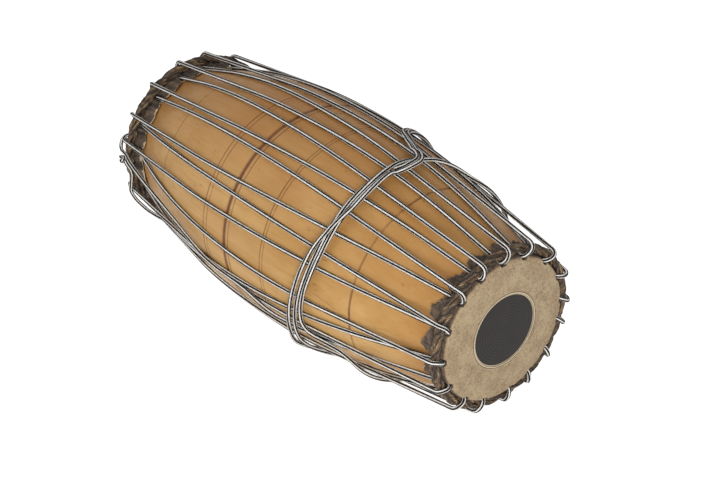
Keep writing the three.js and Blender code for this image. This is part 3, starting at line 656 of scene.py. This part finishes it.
suede, tree, place, body = finish("suede", 0.9, 0.3)
colour = mottled(tree, place, paint(180, 158, 124), paint(146, 121, 92), 45.0, 380.0)
fibres = noise(tree, place, 1100.0, 4.0, 0.75)
specks = flecked(tree, place, 300.0, 0.55)
shown = blended(tree, times(tree, specks, 0.6), colour["Color"], paint(110, 86, 62))
shown = blended(tree, stepped(tree, fibres, 0.45, 0.6, 0.0, 0.55), shown, paint(200, 181, 148))
shown = blended(tree, stepped(tree, fibres, 0.46, 0.34, 0.0, 0.5), shown, paint(122, 98, 72))
depth_mark, cut_mark = mark_of(tree, "depth"), mark_of(tree, "cut")
crease_shade_mask, rim_mark = mark_of(tree, "crease"), mark_of(tree, "rim")
shown = blended(tree, stepped(tree, rim_mark, 0.95, 0.7, 0.0, 0.85), shown, paint(66, 53, 43))
shown = blended(tree, stepped(tree, rim_mark, 0.48, 0.38), shown, paint(222, 206, 176))
shown = blended(tree, stepped(tree, rim_mark, 0.08, 0.0), shown, paint(40, 33, 30))
folded = stepped(tree, depth_mark, 0.0006, 0.0032)
skirt_grime_and_crease_shade = mottled(tree, place, paint(118, 99, 80), paint(64, 51, 44), 130.0, 700.0)["Color"]
# The darker skirt hide, with painted shade in the valleys of its pleats.
skirt_grime_and_crease_shade = blended(tree, times(tree, crease_shade_mask, 0.75), skirt_grime_and_crease_shade, paint(34, 27, 25))
fuzz = flecked(tree, place, 260.0, 0.4)
skirt_grime_and_crease_shade = blended(tree, times(tree, fuzz, 0.45), skirt_grime_and_crease_shade, paint(176, 160, 140))
shown = blended(tree, folded, shown, skirt_grime_and_crease_shade)
raw_edge = stepped(tree, noise(tree, place, 60.0, 2.0, 0.5), 0.36, 0.46, 0.25, 1.0)
pale_cut = times(tree, stepped(tree, cut_mark, 0.2, 0.6), raw_edge)
shown = blended(tree, pale_cut, shown, paint(214, 196, 164))
tree.links.new(shown, body["Base Color"])
body["Sheen Weight"].default_value = 0.1
body["Sheen Roughness"].default_value = 0.5
tree.links.new(relief(tree, sums(tree, "ADD", colour["Share"], fibres), 0.00035), body["Normal"])

put_on(skin_surface("treble", treble), suede, "suede", "treble_outer_skin")
put_on(skin_surface("bass", bass), suede, "suede", "bass_outer_skin")


# The plaited hoops: three straps of raw hide are plaited wet into a hoop round each head and go hard
# as they dry. The lacing hangs on them, and a player strikes them to tune the drum.

hoop_twists = 8

# A strap's distance from the hoop's middle line, its least size and its two ridges, in hoop sections
strap_offset, strap_core, strap_swell, strap_grain = 0.56, 0.34, 0.13, 0.06
knuckle_depth = 0.0004
strap_steps, strap_sides = 1200, 40


def strap_surface(label, head, index):
    """A strap's section, gathered into ridges, carried on a path that winds round the hoop's middle line.
    The ridges wander and deepen along the strap, as wet hide does when it is pulled tight."""
    turn_share = np.arange(strap_steps) / strap_steps
    wind = 2 * np.pi * (turn_share * hoop_twists + index / 3)
    forth, out = head.section * strap_offset * np.stack([np.sin(wind), np.cos(wind)])
    middle = around(head.hoop_station + forth, head.hoop_radius + out, turn_share * 360)
    ring = around(head.hoop_station, head.hoop_radius, turn_share * 360)
    along = np.roll(middle, -1, axis=0) - np.roll(middle, 1, axis=0)
    along /= np.linalg.norm(along, axis=1, keepdims=True)
    outward = middle - ring
    outward -= along * (outward * along).sum(axis=1, keepdims=True)
    outward /= np.linalg.norm(outward, axis=1, keepdims=True)
    across = np.cross(along, outward)
    turn_angle = np.linspace(0, 2 * np.pi, strap_sides, endpoint=False)[None, :]
    drift = 0.9 * wander(turn_share, 60 + index, 13, 5)[:, None]
    main = np.abs(np.sin(turn_angle + drift)) ** 0.6
    fine = np.abs(np.sin(3.5 * (turn_angle + 1.7 * drift))) ** 0.7
    ridge = main * (0.55 + 0.45 * fine)
    knuckle = wander(turn_share[:, None] + 0.003 * np.sin(turn_angle), 50 + index, 17, 7)
    size = head.section * (strap_core + strap_swell * main + strap_grain * fine) + knuckle_depth * knuckle
    points = (middle[:, None] + size[..., None] * (
        np.cos(turn_angle)[..., None] * outward[:, None] + np.sin(turn_angle)[..., None] * across[:, None]))
    # The ridge mark carries painted shade into a strap's low parts and a painted highlight onto its tops.
    return surface(f"{label}_plait_strap_{index + 1}", points, ring_rows=True, marks={"ridge": ridge})


plait, tree, place, body = finish("hoop_leather", 0.6, 0.35)
colour = mottled(tree, place, paint(104, 82, 60), paint(60, 46, 36), 110.0, 600.0)
ridge_mark = mark_of(tree, "ridge")
# Painted shade: the low parts between a strap's ridges are painted near-black.
shown = blended(tree, stepped(tree, ridge_mark, 0.72, 0.35), colour["Color"], paint(26, 20, 19))
# Painted highlight: pale tan on the tops of the straps' ridges, in patches.
highlight_patches = stepped(tree, noise(tree, place, 90.0, 3.0, 0.6), 0.42, 0.56)
painted_ridge_highlight = times(tree, stepped(tree, ridge_mark, 0.84, 0.96), highlight_patches)
shown = blended(tree, times(tree, painted_ridge_highlight, 0.7), shown, paint(190, 164, 124))
tree.links.new(shown, body["Base Color"])
tree.links.new(relief(tree, colour["Share"], 0.0004), body["Normal"])

for label, head in (("treble", treble), ("bass", bass)):
    for index in range(3):
        put_on(strap_surface(label, head, index), plait, "hoop_leather", f"{label}_hoop_strap_{index + 1}")


# The lacing: one braided rope, white with black stripes, goes over and under both hoops sixteen times
# and is pulled taut, so that each strand bears on the wood. It starts and ends on the bass hoop.

rope_radius = rope_diameter / 2
loop_spread = 2.2

# A bend round a hoop, in degrees of winding: its step, and where and how long it turns aside
wind_step, front_start, front_length = 6, 50, 110
lay_gap = 0.0003
bed_step = 0.003
smoothing_reach = 3
hoop_reach = {head.side: head.section + rope_gap + rope_radius for head in (treble, bass)}


def rope_bed():
    """What a strand can lie on, by station, as the radius of its middle: the notches and the bare wood."""
    rows = []
    for head in (bass, treble):
        tuck, bend = head.hoop_depth + 0.0015, head.hoop_depth + head.section + 0.002
        depth = np.array([tuck, bend, head.margin])
        stand = np.array([skin_outer, hide_gap + skin_thickness, hide_gap + skin_thickness])
        height = wood_at(head, depth) + stand + rope_radius + lay_gap
        rows.append(np.stack([head.face - head.side * depth, height], axis=-1))
    bare_low, bare_high = bass.face + bass.margin + bed_step, treble.face - treble.margin - bed_step
    stations = np.arange(bare_low, bare_high, bed_step)
    rows.append(np.stack([stations, barrel_radius(stations) + rope_radius + lay_gap], axis=-1))
    bed = np.concatenate(rows)
    return bed[np.argsort(bed[:, 0])]


def leaving(head, bed, over):
    """Slope at which a taut strand leaves a hoop, over or under it, and the bed point that it meets."""
    run = head.side * (head.hoop_station - bed[:, 0])
    rise = bed[:, 1] - head.hoop_radius
    wrap = np.arcsin(np.minimum(1, hoop_reach[head.side] / np.hypot(run, rise)))
    slope = np.arctan2(rise, run) + (-wrap if over else wrap)
    return slope.max(), int(slope.argmax())


def taut(points):
    """The stretched line over a bed: its upper hull."""
    hull = []
    for point in points:
        while len(hull) > 1:
            (ax, ay), (bx, by) = hull[-2:]
            if (bx - ax) * (point[1] - ay) - (by - ay) * (point[0] - ax) < 0:
                break
            hull.pop()
        hull.append(tuple(point))
    return np.array(hull)


def strand_profile(over_bass, over_treble):
    """Side view of a strand from bass to treble, from where it leaves one hoop to where it meets the other
    over the bed between, and its slope at each hoop."""
    bed = rope_bed()
    bass_slope, first = leaving(bass, bed, over_bass)
    treble_slope, last = leaving(treble, bed, over_treble)
    ends = []
    for head, slope, over in ((bass, bass_slope, over_bass), (treble, treble_slope, over_treble)):
        reach = hoop_reach[head.side] * (1 if over else -1)
        station = head.hoop_station + head.side * reach * np.sin(slope)
        ends.append([[station, head.hoop_radius + reach * np.cos(slope)]])
    line = np.concatenate([ends[0], taut(bed[first:last + 1]), ends[1]])
    return line, np.degrees(bass_slope), np.degrees(treble_slope)


def radial(degrees):
    """Unit vector out from the axis at an angle."""
    angle = np.radians(degrees)
    return np.stack([np.zeros_like(angle), -np.cos(angle), np.sin(angle)], axis=-1)


def hoop_turn(head, wind_from, wind_to, from_angle, to_angle, sign):
    """A bend round a hoop, and the side of the rope that faces away from the hoop, times a sign. It turns
    to its other angle on its way from the hoop's front to its inside, by a smooth step."""
    share = np.linspace(0, 1, int(abs(wind_to - wind_from) / wind_step) + 1)
    wind = np.radians(wind_from + (wind_to - wind_from) * share)
    over_front = ((np.degrees(wind) - front_start) / front_length).clip(0, 1)
    over_front = over_front ** 2 * (3 - 2 * over_front)
    if wind_to < wind_from:
        over_front = 1 - over_front
    angle = from_angle + (to_angle - from_angle) * over_front
    forth, out = hoop_reach[head.side] * np.stack([np.sin(wind), np.cos(wind)])
    middle = around(head.hoop_station + head.side * forth, head.hoop_radius + out, angle)
    away = radial(angle) * np.cos(wind)[:, None]
    away[:, 0] = head.side * np.sin(wind)
    return middle, sign * away


def strand(profile, bass_angle, treble_angle, stray, sign):
    """A strand from the bass hoop to the treble hoop: its angle goes evenly with its station, plus a stray
    that is most in the middle, by a parabola."""
    share = (profile[:, 0] - bass.hoop_station) / (treble.hoop_station - bass.hoop_station)
    angle = bass_angle + (treble_angle - bass_angle) * share + 4 * stray * share * (1 - share)
    return around(profile[:, 0], profile[:, 1], angle), sign * radial(angle)


def eased(stops, parts):
    """A curve through stops: on each span a cubic whose ends lean on the stops either side, with the
    square root of the distance between stops as its clock."""
    before = np.concatenate([2 * stops[:1] - stops[1:2], stops[:-2]])
    first, second = stops[:-1], stops[1:]
    after = np.concatenate([stops[2:], 2 * stops[-1:] - stops[-2:-1]])
    spans = ((before, first), (first, second), (second, after))
    early, span, late = (np.sqrt(np.linalg.norm(b - a, axis=1, keepdims=True)) for a, b in spans)
    lean_in = (first - before) / early - (second - before) / (early + span) + (second - first) / span
    lean_out = (second - first) / span - (after - first) / (span + late) + (after - second) / late
    t = (np.arange(parts) / parts)[None, :, None]
    points = (2 * t ** 3 - 3 * t ** 2 + 1) * first[:, None] + (3 * t ** 2 - 2 * t ** 3) * second[:, None]
    points += (t ** 3 - 2 * t ** 2 + t) * (lean_in * span)[:, None]
    points += (t ** 3 - t ** 2) * (lean_out * span)[:, None]
    return np.concatenate([points.reshape(-1, stops.shape[1]), stops[-1:]])


def evened(points, faces, step):
    """A route with points a step apart along it, after each is averaged with its neighbours: the average
    is taken from running sums of four times as many points."""
    length = np.concatenate([[0], np.cumsum(np.linalg.norm(np.diff(points, axis=0), axis=1))])
    fine = np.arange(0, length[-1], step / 4)
    columns = np.concatenate([points, faces], axis=1).T
    both = np.stack([np.interp(fine, length, column) for column in columns], axis=-1)
    start, end = both[:1].repeat(smoothing_reach, 0), both[-1:].repeat(smoothing_reach, 0)
    sums_so_far = np.cumsum(np.concatenate([np.zeros((1, 6)), start, both, end]), axis=0)
    width = 2 * smoothing_reach + 1
    both = ((sums_so_far[width:] - sums_so_far[:-width]) / width)[::4]
    return both[:, :3], both[:, 3:]


def rope_surface(name, middle, away, sides, twist):
    """A round section carried along a route. Its first point faces away, and the UV map counts turns round
    the rope, with a slow twist, and the length in turns' widths. Nothing goes below the floor."""
    along = np.gradient(middle, axis=0)
    along /= np.linalg.norm(along, axis=1, keepdims=True)
    away = away - along * (away * along).sum(axis=1, keepdims=True)
    away /= np.linalg.norm(away, axis=1, keepdims=True)
    across = np.cross(along, away)
    angle = np.linspace(0, 2 * np.pi, sides, endpoint=False)
    points = middle[:, None] + rope_radius * (
        np.cos(angle)[None, :, None] * away[:, None] + np.sin(angle)[None, :, None] * across[:, None])
    points[..., 2] = np.maximum(points[..., 2], 0)
    length = np.linalg.norm(np.diff(middle, axis=0), axis=1).sum()
    piece = surface(name, points, capped=True, wrap_length=length / (np.pi * rope_diameter))
    wrap_map = piece.data.uv_layers["wrap"].data
    values = np.empty(len(wrap_map) * 2, np.float32)
    wrap_map.foreach_get("uv", values)
    values[::2] += values[1::2] * twist
    wrap_map.foreach_set("uv", values)
    return piece


over_treble, bass_dive, treble_top = strand_profile(False, True)
over_bass, bass_top, treble_dive = strand_profile(True, False)
over_both = strand_profile(True, True)[0]

# How far the middle of each strand strays, in degrees, counted by its loop on the treble hoop
over_treble_stray = np.array([-6.1, 2.3, 2.8, 0.5, 0.5, 0, 0, 0, 0, 0, 0, 0, 0, 0, 0, 4])
over_bass_stray = np.array([-3.2, 0.1, -1.9, -1.1, -0.4, 0.4, 0, 0, 0, 0, 0, 0, 0, 0, 0, 0])

# The first strand crosses three others: station as a share of half the drum, angle, share of a rope's lift
first_stops = np.array([
    [-0.915, 7.9, 0.5], [-0.87, 6.4, 0.9], [-0.776, 3.3, 1], [-0.64, -0.5, 1], [-0.514, -3.8, 1],
    [-0.36, -8.2, 1.05], [-0.25, -12.2, 1.1], [-0.17, -14.6, 0.9], [-0.09, -16, 0.65], [0.01, -17.2, 0.6],
    [0.08, -18.6, 0.9], [0.14, -20.2, 1.1], [0.2, -21.8, 1.05], [0.28, -23.4, 0.6], [0.45, -25, 0],
])

# It starts round the hoop's front, over the loop there: wind round the hoop, angle, share of a rope's lift
arch_stops = np.array([
    [175, 18, 0], [140, 17.8, 0], [105, 17.4, 0.1], [75, 16.4, 0.4],
    [52, 14.2, 0.6], [34, 11.2, 0.6], [10, 9, 0.6],
])

# The rope's end turns up along the bass hoop: angle, share of a rope's lift, diameters behind the hoop
tail_start = 13.5
tail_stops = np.array([
    [-33, 0.4, 12.5], [-32.5, 0.7, 8.5], [-31.8, 0.8, 5], [-30.3, 0.75, 3.1], [-27.5, 0.85, 2.35],
    [-21, 1.02, 2.1], [-17, 1.0, 2.0], [-14.3, 0.42, 1.95], [-10.5, -0.2, 1.95], [-6.5, -0.6, 1.95],
    [-3.2, -0.5, 1.6], [-0.2, -0.08, 0.9], [2.6, 0.06, 0.3],
])


def loop_angle(head, index):
    """Angle of any loop, counted on round the drum past the last and back before the first."""
    return head.loops[index % 16] + 360 * (index // 16)


def arch():
    """The rope's start: from behind the hoop over its front, across the loop there, to the first strand."""
    wind, angle, lift = eased(arch_stops, 6).T
    wind = np.radians(wind)
    forth, out = (hoop_reach[-1] + lift * (rope_diameter + rope_gap)) * np.stack([np.sin(wind), np.cos(wind)])
    middle = around(bass.hoop_station - forth, bass.hoop_radius + out, angle)
    return middle, radial(angle) * np.cos(wind)[:, None] - np.sin(wind)[:, None] * [1, 0, 0]


def first_strand():
    """From over the bass hoop down to under the treble hoop, lifted where it crosses other strands."""
    station, arc, lift = eased(first_stops * [half_length, np.radians(belly_radius), rope_diameter], 8).T
    angle, lift = arc / np.radians(belly_radius), lift / rope_diameter
    height = np.interp(station, over_bass[:, 0], over_bass[:, 1]) + lift * (rope_diameter + rope_gap)
    return around(station, height, angle), radial(angle)


def tail():
    """The rope's end: it leaves the last strand and runs up along the outside of the bass hoop."""
    angle, lift, behind = eased(tail_stops, 6).T
    reach = bass.hoop_radius + hoop_reach[-1] + lift * (rope_diameter + rope_gap)
    return around(bass.hoop_station + behind * rope_diameter, reach, angle), -radial(angle)


def lacing_route():
    """First strand, then loop by loop: turn up round the treble hoop, strand under the bass hoop, turn up
    round it, strand under the treble hoop, and so on round the drum until the tail."""
    parts = [arch(), first_strand()]
    for loop in range(-1, 15):
        bass_low, bass_high = (loop_angle(bass, loop) + side * loop_spread for side in (-1, 1))
        treble_low, treble_high = (loop_angle(treble, loop) + side * loop_spread for side in (-1, 1))
        parts.append(hoop_turn(treble, 180 + treble_dive, treble_top, treble_low, treble_high, -1))
        if loop == 14:
            break
        back = strand(over_treble, bass_low, treble_high, over_treble_stray[loop], -1)
        parts.append((back[0][::-1], back[1][::-1]))
        parts.append(hoop_turn(bass, 180 + bass_dive, bass_top, bass_low, bass_high, 1))
        next_low = loop_angle(treble, loop + 1) - loop_spread
        parts.append(strand(over_bass, bass_high, next_low, over_bass_stray[(loop + 1) % 16], 1))
    until_tail = over_both[:, 0] > bass.hoop_station + tail_start * rope_diameter
    last = strand(over_both[until_tail], bass_high, treble_high, 0, -1)
    parts += [(last[0][::-1], last[1][::-1]), tail()]
    return np.concatenate([part[0] for part in parts]), np.concatenate([part[1] for part in parts])


# The rope's finish: four white and four black stripes along it, with the braid's stitches as relief and
# painted shade between them
rope, tree, place, body = finish("rope", 0.8, 0.2)
wrap_place = shader(tree, "ShaderNodeUVMap", uv_map="wrap").outputs["UV"]
split = shader(tree, "ShaderNodeSeparateXYZ", {"Vector": wrap_place}).outputs
turns, length = split["X"], split["Y"]
stripes, threads = 4, 8
one_way = sums(tree, "SINE", times(tree, sums(tree, "ADD", turns, length), threads * 2 * np.pi))
other_way = sums(tree, "SINE", times(tree, sums(tree, "SUBTRACT", turns, length), threads * 2 * np.pi))
stitches = times(tree, one_way, other_way)
ragged = sums(tree, "ADD", turns, times(tree, one_way, 0.008))
stripe = stepped(tree, sums(tree, "SINE", times(tree, ragged, stripes * 2 * np.pi)), 0.1, 0.35)
worn = stepped(tree, noise(tree, place, 260.0, 4.0, 0.6), 0.4, 0.8)
white = blended(tree, worn, paint(250, 247, 242), paint(212, 205, 194))
black = blended(tree, worn, paint(8, 8, 9), paint(24, 22, 21))
shown = blended(tree, stripe, black, white)
# Painted shade in the low parts between the braid's stitches.
shown = blended(tree, stepped(tree, stitches, 0.0, -0.8, 0.0, 0.16), shown, paint(60, 56, 52))
tree.links.new(shown, body["Base Color"])
tree.links.new(relief(tree, stitches, 0.00018), body["Normal"])

lacing_sides, lacing_step, lacing_twist = 12, 0.0024, 0.02
lacing = rope_surface("lacing", *evened(*lacing_route(), lacing_step), lacing_sides, lacing_twist)
put_on(lacing, rope, "rope", "lacing_rope")


# The end knot: the rope's end is tied into a tight ball, a stopper beside the bass hoop's front. It is
# the same braided rope, made here as a piece of its own with a few millimetres open to the rope's end.

knot_size, knot_depth = 0.0013, 1.6
knot_station, knot_radius, knot_angle = -0.289, 0.1085, -0.5


def end_knot():
    """A trefoil, the curve of a plain overhand knot: a circle and twice as fast a circle, added together,
    that rises and falls three times on its way round."""
    turn = np.radians(np.arange(0, 363, 3))
    across = np.sin(turn) + 2 * np.sin(2 * turn)
    upward = np.cos(turn) - 2 * np.cos(2 * turn)
    outward = -knot_depth * np.sin(3 * turn)
    centre = around(knot_station, knot_radius, knot_angle)
    middle = centre + knot_size * np.stack([across, outward, upward], axis=-1)
    return middle, np.broadcast_to([0.0, -1.0, 0.0], middle.shape)


put_on(rope_surface("lacing_knot", *end_knot(), lacing_sides, lacing_twist), rope, "rope")


# The girdle: a second length of the same rope goes three times round the lacing and draws the strands
# together. A player shifts it to tune the drum. Its turns cross on the front and hitch on top.

girdle_sides, girdle_step, girdle_twist = 16, 0.0012, 0.05
lane_pitch = 0.0054
girdle_lift = 0.00062
girdle_swell = 1.0025
girdle_middle, girdle_swing, swing_lead = 0.086, 0.042, 64
twist_start, twist_end = 24, 52
crossing_share = 0.7

# A pass over the front: its angles. Then the hidden stretches: angle, station as a share of half the
# drum, share of a rope's lift
front_angles = np.array([-38, -24, -10, 4, 17, 27, 33, 38, 43, 48, 54, 66, 79.0])
left_stops = np.array([
    [83, 0.443, 0], [87.4, 0.459, 0.5], [91.3, 0.466, 1], [95.2, 0.46, 1], [98.1, 0.446, 1],
    [100, 0.425, 1], [101.6, 0.399, 0.8], [103.6, 0.37, 0.2], [105.8, 0.342, 0], [109.8, 0.276, 0],
    [115, 0.212, 0], [125, 0.172, 0], [139, 0.145, 0], [157, 0.122, 0], [175, 0.117, 0], [193, 0.124, 0],
    [211, 0.148, 0], [229, 0.2, 0], [246, 0.278, 0], [262, 0.328, 0], [275, 0.333, 0],
    [288, 0.301, 0], [299, 0.266, 0], [309, 0.249, 0],
])
right_stops = np.array([
    [88, 0.414, 0], [94, 0.42, 0], [99, 0.429, 0], [104, 0.434, 0], [110.3, 0.443, 0],
    [116.3, 0.463, 0], [119.8, 0.484, 0], [122.2, 0.516, 0], [125, 0.551, 0], [132, 0.573, 0],
    [145, 0.584, 0], [163, 0.588, 0], [181, 0.588, 0], [199, 0.588, 0], [217, 0.588, 0],
    [235, 0.588, 0], [253, 0.588, 0], [271, 0.588, 0], [289, 0.586, 0],
    [305, 0.584, 0], [320, 0.579, 0], [330, 0.566, 0], [334.6, 0.538, 0], [336.4, 0.49, 0],
    [337.4, 0.445, 0], [338.2, 0.405, 0], [340.4, 0.376, 0], [345, 0.362, 0],
])


def strand_height(station):
    """Radius of the higher of the two kinds of strand at a station, hoop to hoop."""
    return np.maximum(*(np.interp(station, line[:, 0], line[:, 1]) for line in (over_treble, over_bass)))


def beside(stops, offset):
    """A lane beside a line of stops, to higher stations where the line climbs in angle."""
    arc = np.radians(belly_radius)
    steps = np.concatenate([stops[1:2] - stops[:1], stops[2:] - stops[:-2], stops[-1:] - stops[-2:-1]])
    along, over = steps[:, 1] * half_length, steps[:, 0] * arc
    share = offset / np.hypot(along, over)
    angle, station = stops[:, 0] - share * along / arc, stops[:, 1] * half_length + share * over
    return np.stack([angle, station, stops[:, 2]], axis=-1)


def climb_over(share):
    """How high the climbing pass lies over the two lanes that it crosses, as a share of one rope: round
    cords that touch stay one thickness apart."""
    beneath = np.minimum(np.abs(3 * share - 1), np.abs(3 * share - 2))
    apart = crossing_share * beneath * lane_pitch / (rope_diameter + girdle_lift)
    return np.sqrt(np.maximum(0, 1 - apart ** 2))


def front_pass(angles, low_lane, high_lane, climbs):
    """One pass over the front: it swings along the drum and changes lanes in the twist."""
    share = ((angles - twist_start) / (twist_end - twist_start)).clip(0, 1)
    lane = low_lane + (high_lane - low_lane) * share
    swing = np.radians(angles - swing_lead)
    middle = girdle_middle + girdle_swing * np.cos(swing)
    spacing = lane_pitch * np.hypot(1, girdle_swing / belly_radius * np.sin(swing))
    lift = climb_over(share) if climbs else 0 * share
    return np.stack([angles + 360, middle + lane * spacing, lift], axis=-1)


def girdle_route():
    """Twice down the left of the hidden side and once down its right, each before a pass over the front.
    The curve's clock counts stations in millimetres beside angles in degrees."""
    half = lane_pitch / 2
    passes = [
        np.concatenate([beside(left_stops, -half), front_pass(front_angles, -1, 1, True)]),
        np.concatenate([beside(left_stops, half), front_pass(front_angles, 0, -1, False)]),
        np.concatenate([beside(right_stops, 0), front_pass(front_angles[front_angles > -8], 1, 0, False)]),
    ]
    stops = np.concatenate([stretch + [360 * i, 0, 0] for i, stretch in enumerate(passes)])
    angle, station, lift = eased(stops * [1, 1000, 1], 16).T
    station = station / 1000
    height = strand_height(station) + (1 + lift) * (rope_diameter + girdle_lift)
    return around(station, height * girdle_swell, angle), radial(angle)


girdle = rope_surface("girdle", *evened(*girdle_route(), girdle_step), girdle_sides, girdle_twist)
put_on(girdle, rope, "rope", "girdle_rope")


# The floor and the light: the drum lies on a plain white floor. A wide soft lamp stands low beside
# the camera, a weak one on the left, and the white room fills the shadows.

def seen_straight(tree):
    """1 where the camera, a reflection or a clear piece looks at this, and 0 for scattered light."""
    ray = shader(tree, "ShaderNodeLightPath").outputs
    camera_or_glossy = sums(tree, "MAXIMUM", ray["Is Camera Ray"], ray["Is Glossy Ray"])
    return sums(tree, "MAXIMUM", camera_or_glossy, ray["Is Transmission Ray"])


floor_material, tree, place, body = finish("white_floor", 0.9, 0.0)
body["Base Color"].default_value = (0.8, 0.8, 0.8, 1)
body["Emission Color"].default_value = (1, 1, 1, 1)
tree.links.new(times(tree, seen_straight(tree), 0.8), body["Emission Strength"])

floor_mesh = bpy.data.meshes.new("floor")
reach = 8
corners = [(-reach, -reach, 0), (reach, -reach, 0), (reach, reach, 0), (-reach, reach, 0)]
floor_mesh.from_pydata(corners, [], [(0, 1, 2, 3)])
floor = bpy.data.objects.new("floor", floor_mesh)
floor.data.materials.append(floor_material)
bpy.context.scene.collection.objects.link(floor)

room = bpy.data.worlds.new("room")
bpy.context.scene.world = room
room.use_nodes = True
tree = room.node_tree
tree.nodes.clear()
room_light = 0.42
strength = sums(tree, "ADD", room_light, times(tree, seen_straight(tree), 1 - room_light))
background = shader(tree, "ShaderNodeBackground", {"Color": (1, 1, 1, 1), "Strength": strength})
output = shader(tree, "ShaderNodeOutputWorld")
tree.links.new(background.outputs[0], output.inputs[0])


def soft_lamp(name, place, size, watts):
    """A square lamp that faces the drum's middle."""
    lamp = bpy.data.lights.new(name, "AREA")
    lamp.size, lamp.energy = size, watts
    held = bpy.data.objects.new(name, lamp)
    held.location = place
    held.rotation_mode = "QUATERNION"
    held.rotation_quaternion = (Vector((axis_x, axis_y, axis_z)) - held.location).to_track_quat("-Z", "Y")
    bpy.context.scene.collection.objects.link(held)


soft_lamp("front_lamp", Vector((1.75, -1.45, 0.75)), 0.9, 34)
soft_lamp("side_lamp", Vector((-1.2, -1.8, 1.6)), 1.4, 8)
